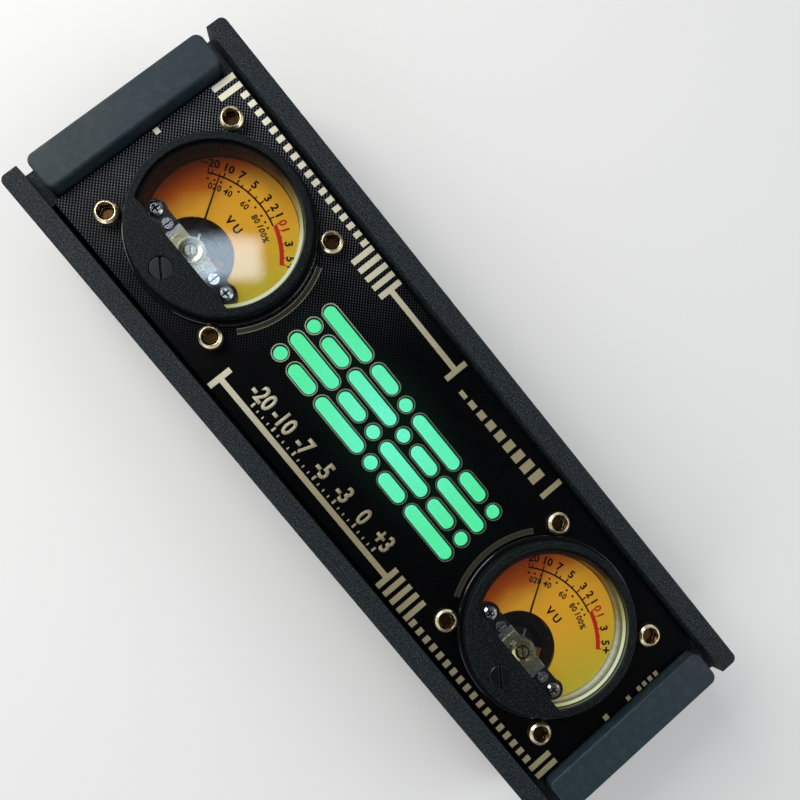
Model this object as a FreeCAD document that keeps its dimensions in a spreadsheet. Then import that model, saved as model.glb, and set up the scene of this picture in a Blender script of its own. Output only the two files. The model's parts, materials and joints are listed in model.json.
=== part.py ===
# Stereo VU meter unit: two round moving-coil meters in a long housing, with a lit display between them.
# +X runs along the housing, +Y is up on the dials, +Z points out of the front panel.
# The origin is on the surface under the rubber feet, below the middle of the unit. All sizes are in mm.

import FreeCAD, Part
import math
import os
import Sketcher

doc = FreeCAD.newDocument("VuMeterUnit")

driving_sizes = {
    # housing
    "rail_width": 4.9,
    "rail_rise": 2.5,
    "rail_gap": 4.25,
    "end_margin": 10.5,
    "housing_corner": 1.6,
    "rail_edge": 0.6,
    "cap_length": 9.0,
    "cap_rise": 3.0,
    "cap_side_gap": 2.25,
    "cap_corner": 2.0,
    "end_wall_drop": 3.0,
    "cap_screw_drop": 6.0,
    "cap_screw_head": 3.0,
    "cap_screw_bite": 4.0,
    "well_play": 0.35,
    "cover_thick": 2.0,
    "cover_margin": 0.4,
    "foot_radius": 6.0,
    "foot_height": 2.0,
    "foot_bevel": 0.8,
    "foot_inset": 11.0,
    "foot_side_inset": 9.4,
    # front panel and what holds it
    "panel_thick": 1.6,
    "panel_end_gap": 1.0,
    "panel_side_gap": 1.15,
    "panel_corner": 1.0,
    "spacer_length": 6.4,
    "spacer_radius": 2.5,
    "clamp_thick": 1.6,
    "clamp_margin": 3.0,
    "standoff_length": 16.4,
    "standoff_flats": 5.5,
    "screw_gap": 0.2,
    "screw_radius": 1.5,
    "screw_play": 0.15,
    "thread_play": 0.03,
    "thread_runout": 0.5,
    "panel_screw_reach": 14.0,
    "cap_head_radius": 2.75,
    "cap_head_height": 2.6,
    "cap_head_bevel": 0.5,
    "hex_flats": 3.0,
    "hex_depth": 1.8,
    "dish_radius": 2.05,
    "dish_floor": 1.55,
    "dish_depth": 0.6,
    "small_screw_radius": 1.0,
    "sink_depth": 1.2,
    "cover_screw_reach": 8.0,
    "cover_screw_outer": 58.0,
    "cover_screw_inner": 20.0,
    # windows and boards
    "window_height": 3.5,
    "dot_length": 3.5,
    "medium_length": 8.4,
    "long_length": 16.2,
    "dot_gap": 1.9,
    "medium_gap": 1.6,
    "long_gap": 1.75,
    "window_pitch": 5.12,
    "window_play": 0.25,
    "window_sink": 0.1,
    "display_margin": 6.0,
    "diffuser_margin": 1.5,
    "diffuser_thick": 2.0,
    "lamp_gap": 4.4,
    "board_thick": 1.6,
    "pillar_gap": 0.5,
    "pillar_edge": 0.4,
    "display_pillar_y": 11.0,
    "display_pillar_radius": 1.8,
    "chip_size": 2.0,
    "chip_height": 0.7,
    "driver_board_gap": 7.0,
    "driver_board_near": 4.75,
    "driver_board_far": 0.75,
    "driver_pillar_height": 4.0,
    "driver_pillar_x_inset": 5.0,
    "driver_pillar_y_inset": 3.5,
    "socket_wall": 1.25,
    "socket_bay_half": 15.0,
    "socket_bay_height": 12.0,
    "socket_recess": 0.1,
    "usb_offset": 8.0,
    "usb_width": 8.94,
    "usb_height": 3.26,
    "usb_length": 7.4,
    "usb_wall": 0.3,
    "usb_play": 0.2,
    "tongue_width": 6.6,
    "tongue_thick": 0.7,
    "tongue_recess": 1.1,
    "jack_offset": -7.0,
    "jack_size": 6.4,
    "jack_length": 12.0,
    "jack_nose_radius": 3.0,
    "jack_bore_radius": 1.8,
    "jack_bore_end": 1.0,
    "jack_play": 0.1,
    "trimmer_offset": 24.0,
    "trimmer_drop": 12.0,
    "trimmer_size": 6.0,
    "trimmer_height": 3.3,
    "rotor_radius": 1.6,
    "rotor_thick": 1.4,
    "rotor_play": 0.1,
    "rotor_slot_width": 0.5,
    "rotor_slot_depth": 0.6,
    "trimmer_access": 0.4,
    # parts on the driver board
    "amplifier_y": 4.0,
    "amplifier_length": 5.0,
    "amplifier_width": 4.0,
    "amplifier_height": 1.5,
    "coil_block_x": 12.0,
    "coil_block_y": 6.0,
    "coil_block_size": 6.0,
    "coil_block_height": 3.0,
    "header_drop": 18.0,
    "header_length": 10.0,
    "header_width": 5.0,
    "header_height": 6.0,
    "capacitor_x": 22.0,
    "capacitor_y": 8.0,
    "capacitor_radius": 3.15,
    "capacitor_height": 7.5,
    "plug_x": 31.0,
    "plug_drop": 4.0,
    "plug_length": 9.5,
    "resistor_x": 13.0,
    "resistor_drop": 9.0,
    "resistor_length": 3.2,
    "resistor_width": 1.6,
    "resistor_height": 0.6,
    # movement, measured from its pivot
    "pivot_drop": 8.8,
    "coil_outer": 6.4,
    "coil_thick": 1.0,
    "coil_width": 3.0,
    "coil_bar": 0.6,
    "coil_gap": 0.4,
    "core_air": 0.4,
    "yoke_air": 0.23,
    "yoke_wall": 2.55,
    "yoke_height": 9.8,
    "yoke_gap": 3.8,
    "core_height": 6.0,
    "core_drop": 0.8,
    "saddle_thick": 0.8,
    "saddle_width": 3.0,
    "plate_thick": 1.2,
    "plate_play": 0.3,
    "post_gap": 0.75,
    "post_radius": 2.2,
    "post_margin": 0.28,
    "boss_radius": 2.2,
    "boss_inset": 4.6,
    "boss_height": 1.3,
    "shaft_radius": 0.3,
    "collet_radius": 0.8,
    "bridge_thick": 1.0,
    "bridge_top": 0.6,
    "bridge_width": 4.3,
    "bridge_end_radius": 2.6,
    "pad_half": 5.1,
    "pad_rise": 0.25,
    "stud_radius": 0.65,
    "stud_head_radius": 1.3,
    "stud_head_height": 0.6,
    "stud_slot_width": 0.35,
    "stud_slot_depth": 0.3,
    "stud_reach": 2.0,
    "cross_head_radius": 1.7,
    "cross_head_height": 0.9,
    "cross_head_rim": 0.35,
    "cross_head_slope": 0.56,
    "cross_recess_span": 2.04,
    "cross_recess_width": 0.45,
    "cross_recess_depth": 0.6,
    "cross_screw_radius": 0.8,
    "cross_screw_reach": 4.5,
    "jewel_radius": 1.25,
    "jewel_length": 2.7,
    "jewel_rise": 1.9,
    "jewel_slot_width": 0.4,
    "jewel_slot_depth": 0.5,
    "rear_jewel_length": 2.1,
    "rear_jewel_rise": 0.1,
    "cup_depth": 0.45,
    "nut_radius": 2.9,
    "nut_thick": 0.6,
    "nut_rim": 0.3,
    "nut_dish": 0.4,
    "nut_dish_gap": 0.15,
    "arm_ring_radius": 3.35,
    "arm_thick": 0.35,
    "arm_width": 2.3,
    "spring_post_gap": 0.6,
    "spring_post_width": 0.8,
    "spring_strip": 0.12,
    "spring_height": 0.3,
    "spring_turns": 3.0,
    "spring_play": 0.03,
    "front_spring_drop": 2.9,
    "rear_spring_rise": 0.4,
    "collet_margin": 0.15,
    # pointer
    "pointer_length": 20.3,
    "pointer_drop": 1.5,
    "pointer_thick": 0.3,
    "pointer_root": 0.55,
    "pointer_tip": 0.22,
    "hub_radius": 1.0,
    "tail_length": 3.3,
    "hub_drop": 0.4,
    "cross_arm": 4.0,
    "weight_size": 1.0,
    "weight_inset": 0.7,
    "weight_drop": 0.2,
    "weight_rise": 0.1,
    "rest_angle": 32.6,
    # meter case, bezel and lens
    "tail_wall": 1.0,
    "tail_step": 1.6,
    "barrel_wall": 1.2,
    "flange_lap": 2.3,
    "flange_thick": 0.9,
    "flange_edge": 0.4,
    "case_floor": 1.5,
    "panel_hole_play": 0.2,
    "collar_step": 0.35,
    "bezel_wall": 1.3,
    "bezel_height": 3.4,
    "bezel_edge": 0.45,
    "window_lap": 0.45,
    "lens_thick": 0.8,
    "lip_thick": 0.6,
    "fit_play": 0.05,
    "cover_chord": 11.0,
    "lens_lap": 0.5,
    # dial, light guide and lamp board
    "dial_drop": 2.0,
    "dial_thick": 0.5,
    "dial_play": 0.2,
    "dial_cut_play": 0.05,
    "guide_thick": 2.0,
    "guide_rim": 0.75,
    "rim_gap": 0.3,
    "tab_width": 2.4,
    "tab_reach": 1.1,
    "tab_thick": 1.0,
    "guide_cut_play": 0.65,
    "post_cut_play": 0.3,
    "lamp_board_thick": 1.0,
    "lamp_inset": 3.3,
    "lamp_size": 2.8,
    "lamp_height": 0.7,
    # zero screw
    "zero_gap": 0.2,
    "zero_radius": 2.8,
    "zero_rise": 0.1,
    "zero_edge": 0.3,
    "zero_flange": 0.3,
    "zero_flange_thick": 0.5,
    "zero_pin_radius": 0.5,
    "zero_pin_reach": 0.3,
    "zero_throw": 0.6,
    "zero_slot_angle": -35.0,
    "zero_slot_width": 0.7,
    "zero_slot_depth": 0.8,
    "fork_depth": 0.6,
    "fork_end": 0.3,
    # terminals
    "terminal_offset": 8.0,
    "terminal_y": 4.0,
    "terminal_radius": 1.5,
    "terminal_reach": 4.5,
    "terminal_head": 0.9,
    "terminal_flats": 5.5,
    "terminal_nut_thick": 2.4,
}

lamp_angles = [0, 30, 60, 90, 120, 150, 180]    # lamps round the light guide, degrees from +X
boss_angles = [90, 210, 330]                    # bosses under the movement plate
past = 1.0                                      # how far a cutting solid runs past what it cuts
lap = 0.1                                       # how far two solids that become one run into each other


def number(size):
    return size.value if isinstance(size, Measure) else float(size)


def formula(size):
    return size.formula if isinstance(size, Measure) else "%.9g" % size


class Measure:
    # A size and the sheet formula that it comes from, so that arithmetic keeps both.
    def __init__(self, text, value):
        self.formula = text
        self.value = value

    def __add__(self, other):
        return Measure("(%s + %s)" % (self.formula, formula(other)), self.value + number(other))

    def __radd__(self, other):
        return Measure("(%s + %s)" % (formula(other), self.formula), number(other) + self.value)

    def __sub__(self, other):
        return Measure("(%s - %s)" % (self.formula, formula(other)), self.value - number(other))

    def __rsub__(self, other):
        return Measure("(%s - %s)" % (formula(other), self.formula), number(other) - self.value)

    def __mul__(self, other):
        return Measure("(%s * %s)" % (self.formula, formula(other)), self.value * number(other))

    def __rmul__(self, other):
        return Measure("(%s * %s)" % (formula(other), self.formula), number(other) * self.value)

    def __truediv__(self, other):
        return Measure("(%s / %s)" % (self.formula, formula(other)), self.value / number(other))

    def __neg__(self):
        return Measure("(0 - %s)" % self.formula, -self.value)


def hypotenuse(first, second):
    text = "sqrt(%s ^ 2 + %s ^ 2)" % (formula(first), formula(second))
    return Measure(text, math.hypot(number(first), number(second)))


def fill_sheet(values):
    sheet = doc.addObject("Spreadsheet::Sheet", "Sizes")
    for row, (name, value) in enumerate(values.items(), start=1):
        sheet.set("A%d" % row, name.replace("_", " "))
        sheet.set("B%d" % row, str(value))
        sheet.setAlias("B%d" % row, name)
    doc.recompute()


class SizeBook:
    # Gives each driving size as a Measure under its own name.
    def __init__(self, values):
        for name, value in values.items():
            setattr(self, name, Measure("Sizes." + name, value))


fill_sheet(driving_sizes)
s = SizeBook(driving_sizes)

# The movement, from its coil outwards, sets how wide the case, the bezel and the flange are.
coil_inner = s.coil_outer - s.coil_thick
core_radius = coil_inner - s.core_air
yoke_bore = hypotenuse(s.coil_outer, s.coil_width / 2) + s.yoke_air
yoke_radius = yoke_bore + s.yoke_wall
stud_offset = (yoke_bore + yoke_radius) / 2
post_offset = yoke_radius + s.post_gap + s.post_radius
tail_inner = hypotenuse(post_offset, s.pivot_drop) + s.post_radius + s.post_margin
tail_radius = tail_inner + s.tail_wall
plate_radius = tail_inner - s.plate_play
barrel_radius = tail_radius + s.tail_step
barrel_inner = barrel_radius - s.barrel_wall
guide_radius = barrel_inner - s.dial_play
rim_inner = guide_radius - s.guide_rim
dial_radius = rim_inner - s.dial_play
flange_radius = barrel_radius + s.flange_lap
lens_radius = barrel_radius - s.collar_step
bowl_radius = lens_radius + s.fit_play
bezel_radius = bowl_radius + s.bezel_wall
window_radius = lens_radius - s.window_lap
zero_drop = bowl_radius - s.zero_radius - s.zero_flange - s.zero_gap
post_cut_radius = s.post_radius + s.post_cut_play
spring_post_ring = s.cross_arm + s.spring_post_gap + s.spring_post_width / 2
cup_radius = s.shaft_radius + s.fit_play
lens_chord = s.cover_chord + s.lens_lap

# The windows lie between the meters, and the meters set where the screws and the housing are.
window_steps = [(s.dot_length, s.dot_gap), (s.medium_length, s.medium_gap), (s.long_length, s.long_gap)]
window_period = sum(length + gap for length, gap in window_steps)
display_half = window_period - s.long_gap / 2
meter_x = display_half + s.display_margin + flange_radius
screw_half = (flange_radius + s.screw_gap + s.cap_head_radius) / math.sqrt(2)
cavity_half_length = meter_x + screw_half + s.end_margin
cavity_half_width = flange_radius + s.rail_gap
half_length = cavity_half_length + s.cap_length
half_width = cavity_half_width + s.rail_width

diffuser_half_x = display_half + s.diffuser_margin
diffuser_half_y = s.window_pitch * 1.5 + s.window_height / 2 + s.diffuser_margin
display_pillar_x = diffuser_half_x + s.pillar_gap + s.display_pillar_radius
display_board_half_x = display_pillar_x + s.display_pillar_radius + s.pillar_edge
display_board_half_y = s.display_pillar_y + s.display_pillar_radius + s.pillar_edge
driver_board_half_x = meter_x - screw_half - s.driver_board_gap
driver_board_near = -(cavity_half_width - s.driver_board_near)
driver_board_far = cavity_half_width - s.driver_board_far
driver_pillar_x = driver_board_half_x - s.driver_pillar_x_inset
driver_pillar_y = -driver_board_near - s.driver_pillar_y_inset

screw_clear_radius = s.screw_radius + s.screw_play
thread_radius = s.screw_radius + s.thread_play

# Heights of the stack, from the feet up.
cover_low = s.foot_height
frame_low = cover_low + s.cover_thick
clamp_low = frame_low + s.standoff_length
clamp_top = clamp_low + s.clamp_thick
panel_back = clamp_top + s.spacer_length
panel_top = panel_back + s.panel_thick
rail_top = panel_top + s.rail_rise
end_wall_top = panel_top - s.end_wall_drop
cap_screw_top = end_wall_top - s.cap_screw_drop
display_board_top = panel_back - s.lamp_gap
driver_board_under = frame_low + s.driver_pillar_height
driver_board_top = driver_board_under + s.board_thick
trimmer_low = driver_board_under - s.trimmer_height
usb_centre = driver_board_top + s.usb_height / 2
jack_centre = driver_board_top + s.jack_size / 2

# Heights inside a meter.
flange_top = panel_top + s.flange_thick
bezel_top = flange_top + s.bezel_height
lens_top = bezel_top - s.lip_thick
lens_low = lens_top - s.lens_thick
ledge_top = clamp_top + s.barrel_wall
dial_face = panel_top - s.dial_drop
dial_back = dial_face - s.dial_thick
guide_low = dial_back - s.guide_thick
rim_top = lens_low - s.rim_gap
lamp_board_top = ledge_top + s.lamp_board_thick

bridge_face = panel_top + s.bridge_top
bridge_under = bridge_face - s.bridge_thick
pad_top = bridge_face + s.pad_rise
arm_low = pad_top + s.fit_play
arm_top = arm_low + s.arm_thick
nut_low = arm_top + s.fit_play
jewel_top = panel_top + s.jewel_rise
jewel_low = jewel_top - s.jewel_length - s.fit_play
yoke_top = bridge_under - s.yoke_gap
yoke_low = yoke_top - s.yoke_height
plate_low = yoke_low - s.plate_thick
case_inside = plate_low - s.boss_height
case_bottom = case_inside - s.case_floor
core_top = yoke_top - s.core_drop
core_low = core_top - s.core_height
saddle_low = core_low - s.saddle_thick
coil_top = core_top + s.coil_gap + s.coil_bar
coil_low = saddle_low - s.coil_gap - s.coil_bar
pointer_low = panel_top - s.pointer_drop
front_spring_low = panel_top - s.front_spring_drop
rear_spring_low = yoke_low + s.rear_spring_rise
rear_jewel_top = yoke_low + s.rear_jewel_rise

finished = []


def bind(item, prop, size):
    item.setExpression(prop, formula(size))


def place(item, x=0, y=0, z=0, turn=0):
    bind(item, "Placement.Base.x", x)
    bind(item, "Placement.Base.y", y)
    bind(item, "Placement.Base.z", z)
    if turn != 0:
        rotation = FreeCAD.Rotation(FreeCAD.Vector(0, 0, 1), number(turn))
        item.Placement = FreeCAD.Placement(item.Placement.Base, rotation)
        item.setExpression("Placement.Rotation.Angle", "(%s) * 1 deg" % formula(turn))
    return item


def finish(item, label):
    item.Label = label
    finished.append(item)
    return item


# ---- solids from primitives ----

def rod(radius, low, high, x=0, y=0):
    item = doc.addObject("Part::Cylinder", "Rod")
    bind(item, "Radius", radius)
    bind(item, "Height", high - low)
    return place(item, x, y, low)


def rod_along_y(radius, near, far, x, z):
    item = doc.addObject("Part::Cylinder", "CrossRod")
    bind(item, "Radius", radius)
    bind(item, "Height", far - near)
    item.Placement = FreeCAD.Placement(FreeCAD.Vector(), FreeCAD.Rotation(FreeCAD.Vector(1, 0, 0), -90))
    return place(item, x, near, z)


def taper(low_radius, high_radius, low, high, x=0, y=0):
    item = doc.addObject("Part::Cone", "Taper")
    bind(item, "Radius1", low_radius)
    bind(item, "Radius2", high_radius)
    bind(item, "Height", high - low)
    return place(item, x, y, low)


def block(x_low, x_high, y_low, y_high, z_low, z_high):
    item = doc.addObject("Part::Box", "Block")
    bind(item, "Length", x_high - x_low)
    bind(item, "Width", y_high - y_low)
    bind(item, "Height", z_high - z_low)
    return place(item, x_low, y_low, z_low)


def centred_block(x, y, x_size, y_size, z_low, z_high):
    return block(x - x_size / 2, x + x_size / 2, y - y_size / 2, y + y_size / 2, z_low, z_high)


def hex_rod(flats, low, high, x=0, y=0):
    item = doc.addObject("Part::Prism", "HexRod")
    item.Polygon = 6
    bind(item, "Circumradius", flats / math.sqrt(3))
    bind(item, "Height", high - low)
    return place(item, x, y, low)


def fuse(*items):
    item = doc.addObject("Part::MultiFuse", "Union")
    item.Shapes = list(items)
    return item


def cut(base, *tools):
    item = doc.addObject("Part::Cut", "Cut")
    item.Base = base
    item.Tool = tools[0] if len(tools) == 1 else fuse(*tools)
    return item


def common(first, second):
    item = doc.addObject("Part::Common", "Common")
    item.Base = first
    item.Tool = second
    return item


def group(*items):
    item = doc.addObject("Part::Compound", "Group")
    item.Links = list(items)
    return item


# ---- solids from sketches ----

def new_body(name):
    return doc.addObject("PartDesign::Body", name)


def new_sketch(body, role, height=0):
    sketch = body.newObject("Sketcher::SketchObject", "Sketch")
    plane = [feature for feature in body.Origin.OriginFeatures if feature.Role == role][0]
    sketch.AttachmentSupport = [(plane, "")]
    sketch.MapMode = "FlatFace"
    bind(sketch, "AttachmentOffset.Base.z", height)
    return sketch


def hold(sketch, kind, geometry, point, size):
    # Ties one coordinate of a point to a size; a plain zero puts the point on the axis.
    if not isinstance(size, Measure) and size == 0:
        axis = -2 if kind == "DistanceX" else -1
        sketch.addConstraint(Sketcher.Constraint("PointOnObject", geometry, point, axis))
        return
    index = sketch.addConstraint(Sketcher.Constraint(kind, -1, 1, geometry, point, number(size)))
    sketch.setExpression("Constraints[%d]" % index, formula(size))


def hold_point(sketch, geometry, point, x, y):
    hold(sketch, "DistanceX", geometry, point, x)
    hold(sketch, "DistanceY", geometry, point, y)


def hold_radius(sketch, geometry, radius):
    index = sketch.addConstraint(Sketcher.Constraint("Radius", geometry, number(radius)))
    sketch.setExpression("Constraints[%d]" % index, formula(radius))


def draw_outline(sketch, corners):
    first = sketch.GeometryCount
    count = len(corners)
    spots = [FreeCAD.Vector(number(x), number(y), 0) for x, y in corners]
    for i in range(count):
        sketch.addGeometry(Part.LineSegment(spots[i], spots[(i + 1) % count]), False)
    for i in range(count):
        after = first + (i + 1) % count
        sketch.addConstraint(Sketcher.Constraint("Coincident", first + i, 2, after, 1))
    for i, (x, y) in enumerate(corners):
        hold_point(sketch, first + i, 1, x, y)


def draw_rectangle(sketch, x_low, x_high, y_low, y_high):
    draw_outline(sketch, [(x_low, y_low), (x_high, y_low), (x_high, y_high), (x_low, y_high)])


def draw_circle(sketch, radius, x=0, y=0):
    spot = FreeCAD.Vector(number(x), number(y), 0)
    circle = sketch.addGeometry(Part.Circle(spot, FreeCAD.Vector(0, 0, 1), number(radius)), False)
    hold_radius(sketch, circle, radius)
    hold_point(sketch, circle, 3, x, y)


def draw_arc(sketch, radius, x, y, start, end):
    spot = FreeCAD.Vector(number(x), number(y), 0)
    circle = Part.Circle(spot, FreeCAD.Vector(0, 0, 1), number(radius))
    return sketch.addGeometry(Part.ArcOfCircle(circle, start, end), False)


def draw_pill(sketch, x, y, length, height):
    # A slot with round ends; one as long as it is high is a circle.
    if number(length) <= number(height) + 1e-6:
        draw_circle(sketch, height / 2, x, y)
        return
    left = x - (length - height) / 2
    right = x + (length - height) / 2
    half = number(height) / 2
    west = draw_arc(sketch, height / 2, left, y, math.pi / 2, 3 * math.pi / 2)
    east = draw_arc(sketch, height / 2, right, y, -math.pi / 2, math.pi / 2)
    ends = [(number(left), number(right), number(y) + side * half) for side in (1, -1)]
    top, under = [
        sketch.addGeometry(Part.LineSegment(FreeCAD.Vector(a, b, 0), FreeCAD.Vector(c, b, 0)), False)
        for a, c, b in ends
    ]
    joins = [(top, 1, west, 1), (top, 2, east, 2), (under, 1, west, 2), (under, 2, east, 1)]
    for line, line_end, arc, arc_end in joins:
        sketch.addConstraint(Sketcher.Constraint("Tangent", line, line_end, arc, arc_end))
    hold_radius(sketch, west, height / 2)
    hold_point(sketch, west, 3, left, y)
    hold_point(sketch, east, 3, right, y)


def draw_lens_outline(sketch, radius, chord):
    # A circle round the origin with its lower part cut off by a level line.
    angle = math.asin(number(chord) / number(radius))
    arc = draw_arc(sketch, radius, 0, 0, -angle, math.pi + angle)
    reach = number(radius) * math.cos(angle)
    left = FreeCAD.Vector(-reach, -number(chord), 0)
    right = FreeCAD.Vector(reach, -number(chord), 0)
    line = sketch.addGeometry(Part.LineSegment(left, right), False)
    sketch.addConstraint(Sketcher.Constraint("Coincident", arc, 3, -1, 1))
    sketch.addConstraint(Sketcher.Constraint("Coincident", arc, 1, line, 2))
    sketch.addConstraint(Sketcher.Constraint("Coincident", arc, 2, line, 1))
    sketch.addConstraint(Sketcher.Constraint("Horizontal", line))
    hold(sketch, "DistanceY", line, 1, -chord)
    hold_radius(sketch, arc, radius)


def pad(body, sketch, length):
    feature = body.newObject("PartDesign::Pad", "Pad")
    feature.Profile = sketch
    bind(feature, "Length", length)
    doc.recompute()
    return feature


def pocket(body, sketch, length=None, upwards=False):
    before = body.Tip.Shape.Volume
    feature = body.newObject("PartDesign::Pocket", "Pocket")
    feature.Profile = sketch
    feature.Reversed = upwards
    if length is None:
        feature.Type = 1
    else:
        bind(feature, "Length", length)
    doc.recompute()
    if feature.Shape.Volume >= before:
        raise RuntimeError("a pocket in %s cuts nothing" % body.Label)
    return feature


def revolve(body, sketch):
    feature = body.newObject("PartDesign::Revolution", "Revolution")
    feature.Profile = sketch
    feature.ReferenceAxis = (sketch, ["V_Axis"])
    feature.Angle = 360
    doc.recompute()
    return feature


def repeat_along(body, feature, sketch, axis, spacing, count):
    pattern = body.newObject("PartDesign::LinearPattern", "Pattern")
    pattern.Originals = [feature]
    pattern.Direction = (sketch, [axis])
    pattern.Occurrences = count
    bind(pattern, "Length", spacing * (count - 1))
    body.Tip = pattern
    doc.recompute()
    return pattern


def soften(body, radius, chosen, kind="PartDesign::Fillet"):
    # Rounds or chamfers the edges that the test picks.
    base = body.Tip
    names = ["Edge%d" % (i + 1) for i, edge in enumerate(base.Shape.Edges) if chosen(edge)]
    feature = body.newObject(kind, "Softened")
    feature.Base = (base, names)
    bind(feature, "Radius" if kind.endswith("Fillet") else "Size", radius)
    body.Tip = feature
    doc.recompute()
    return feature


def at_height(edge, height):
    return all(abs(vertex.Z - number(height)) < 1e-4 for vertex in edge.Vertexes)


def is_upright(edge):
    ends = edge.Vertexes
    return len(ends) == 2 and abs(ends[0].X - ends[1].X) < 1e-4 and abs(ends[0].Y - ends[1].Y) < 1e-4


def is_rim(edge, radius, height):
    curve = edge.Curve
    is_round = isinstance(curve, Part.Circle) and abs(curve.Radius - number(radius)) < 1e-4
    return is_round and at_height(edge, height)


# ---- places that repeat ----

def screw_places():
    # The eight panel screws: a square round each meter.
    return [
        (side * meter_x + i * screw_half, j * screw_half)
        for side in (-1, 1) for i in (-1, 1) for j in (-1, 1)
    ]


def corner_places(x, y):
    return [(i * x, j * y) for i in (-1, 1) for j in (-1, 1)]


def cover_screw_places():
    # Four small screws along each rail, from below; the inner ones pass on both sides of the sockets.
    y = half_width - s.rail_width / 2
    return corner_places(s.cover_screw_outer, y) + corner_places(s.cover_screw_inner, y)


def cap_screw_places():
    return corner_places(half_length - s.cap_length / 2, screw_half)


def window_rows():
    # Each row as its height above the middle and (centre x, length) pairs.
    # Neighbouring rows run opposite ways.
    centres = []
    edge = -display_half
    for length, gap in window_steps * 2:
        centres.append((edge + length / 2, length))
        edge = edge + length + gap
    turned = [(-x, length) for x, length in centres]
    return [(s.window_pitch * -1.5, centres), (s.window_pitch * -0.5, turned)]


# ---- housing ----

def make_housing_frame():
    body = new_body("HousingFrame")
    outer = new_sketch(body, "XY_Plane", frame_low)
    draw_rectangle(outer, -half_length, half_length, -half_width, half_width)
    pad(body, outer, rail_top - frame_low)
    soften(body, s.housing_corner, is_upright)
    soften(body, s.rail_edge, lambda edge: at_height(edge, rail_top))
    channel = new_sketch(body, "XY_Plane", rail_top)
    reach = half_length + past
    draw_rectangle(channel, -reach, reach, -cavity_half_width, cavity_half_width)
    pocket(body, channel, rail_top - end_wall_top)
    cavity = new_sketch(body, "XY_Plane", rail_top)
    draw_rectangle(cavity, -cavity_half_length, cavity_half_length, -cavity_half_width, cavity_half_width)
    pocket(body, cavity)
    bay = new_sketch(body, "XY_Plane", frame_low)
    bay_end = half_width - s.socket_wall
    draw_rectangle(bay, -s.socket_bay_half, s.socket_bay_half, cavity_half_width - past, bay_end)
    pocket(body, bay, s.socket_bay_height, upwards=True)
    threads = new_sketch(body, "XY_Plane", frame_low)
    for x, y in cover_screw_places():
        draw_circle(threads, s.small_screw_radius + s.thread_play, x, y)
    pocket(body, threads, s.cover_screw_reach, upwards=True)
    cap_holes = new_sketch(body, "XY_Plane", frame_low)
    for x, y in cap_screw_places():
        draw_circle(cap_holes, screw_clear_radius, x, y)
    pocket(body, cap_holes, end_wall_top - frame_low, upwards=True)
    wells = new_sketch(body, "XY_Plane", frame_low)
    for x, y in cap_screw_places():
        draw_circle(wells, s.cap_head_radius + s.well_play, x, y)
    pocket(body, wells, cap_screw_top - frame_low, upwards=True)
    outside = half_width + past
    usb_width = s.usb_width + s.usb_play * 2
    usb_height = s.usb_height + s.usb_play * 2
    jack_hole_radius = s.jack_nose_radius + s.jack_play
    openings = [
        pill_along_y(usb_width, usb_height, cavity_half_width, outside, s.usb_offset, usb_centre),
        rod_along_y(jack_hole_radius, cavity_half_width, outside, s.jack_offset, jack_centre),
    ]
    finish(cut(body, *openings), "housing_frame")


def make_end_caps():
    caps = []
    inner_half = cavity_half_width - s.cap_side_gap
    for side, name in ((-1, "LeftCap"), (1, "RightCap")):
        body = new_body(name)
        outline = new_sketch(body, "XY_Plane", end_wall_top)
        near, far = sorted((side * cavity_half_length, side * half_length), key=number)
        draw_rectangle(outline, near, far, -inner_half, inner_half)
        pad(body, outline, panel_top + s.cap_rise - end_wall_top)
        soften(body, s.cap_corner, is_upright)
        soften(body, s.rail_edge, lambda edge: at_height(edge, panel_top + s.cap_rise))
        holes = new_sketch(body, "XY_Plane", end_wall_top)
        for x, y in cap_screw_places():
            if number(x) * side > 0:
                draw_circle(holes, thread_radius, x, y)
        pocket(body, holes, s.cap_screw_bite + s.thread_runout, upwards=True)
        caps.append(body)
    finish(group(*caps), "end_caps")


def make_bottom_cover():
    body = new_body("BottomCover")
    outline = new_sketch(body, "XY_Plane", cover_low)
    half_x = half_length - s.cover_margin
    half_y = half_width - s.cover_margin
    draw_rectangle(outline, -half_x, half_x, -half_y, half_y)
    pad(body, outline, s.cover_thick)
    soften(body, s.housing_corner, is_upright)
    holes = new_sketch(body, "XY_Plane", frame_low)
    for x, y, radius in cover_fasteners():
        draw_circle(holes, radius + s.screw_play, x, y)
    for side in (-1, 1):
        draw_circle(holes, s.rotor_radius + s.trimmer_access, side * s.trimmer_offset, -s.trimmer_drop)
    pocket(body, holes)
    sinks = []
    for x, y, radius in cover_fasteners():
        narrow = radius + s.screw_play
        sinks.append(taper(narrow + s.sink_depth, narrow, cover_low, cover_low + s.sink_depth, x, y))
    finish(cut(body, *sinks), "bottom_cover")


def cover_fasteners():
    # Small screws up into the rails and larger ones up into the standoffs: place and radius.
    small = [(x, y, s.small_screw_radius) for x, y in cover_screw_places()]
    large = [(x, y, s.screw_radius) for x, y in screw_places()]
    return small + large


def make_cover_screws():
    screws = []
    for x, y, radius in cover_fasteners():
        head_top = cover_low + s.sink_depth
        head = taper(radius + s.sink_depth, radius, cover_low, head_top, x, y)
        shank = rod(radius, head_top - lap, frame_low + s.cover_screw_reach - s.thread_runout, x, y)
        recess = hex_rod(radius * 1.2, cover_low - past, cover_low + s.sink_depth * 0.7, x, y)
        screws.append(cut(fuse(head, shank), recess))
    finish(group(*screws), "cover_screws")


def make_end_cap_screws():
    head_low = cap_screw_top - s.cap_screw_head
    screws = []
    for x, y in cap_screw_places():
        head = rod(s.cap_head_radius, head_low, cap_screw_top, x, y)
        shank = rod(s.screw_radius, cap_screw_top - lap, end_wall_top + s.cap_screw_bite, x, y)
        recess = hex_rod(s.hex_flats, head_low - past, head_low + s.hex_depth, x, y)
        screws.append(cut(fuse(head, shank), recess))
    finish(group(*screws), "end_cap_screws")


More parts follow.
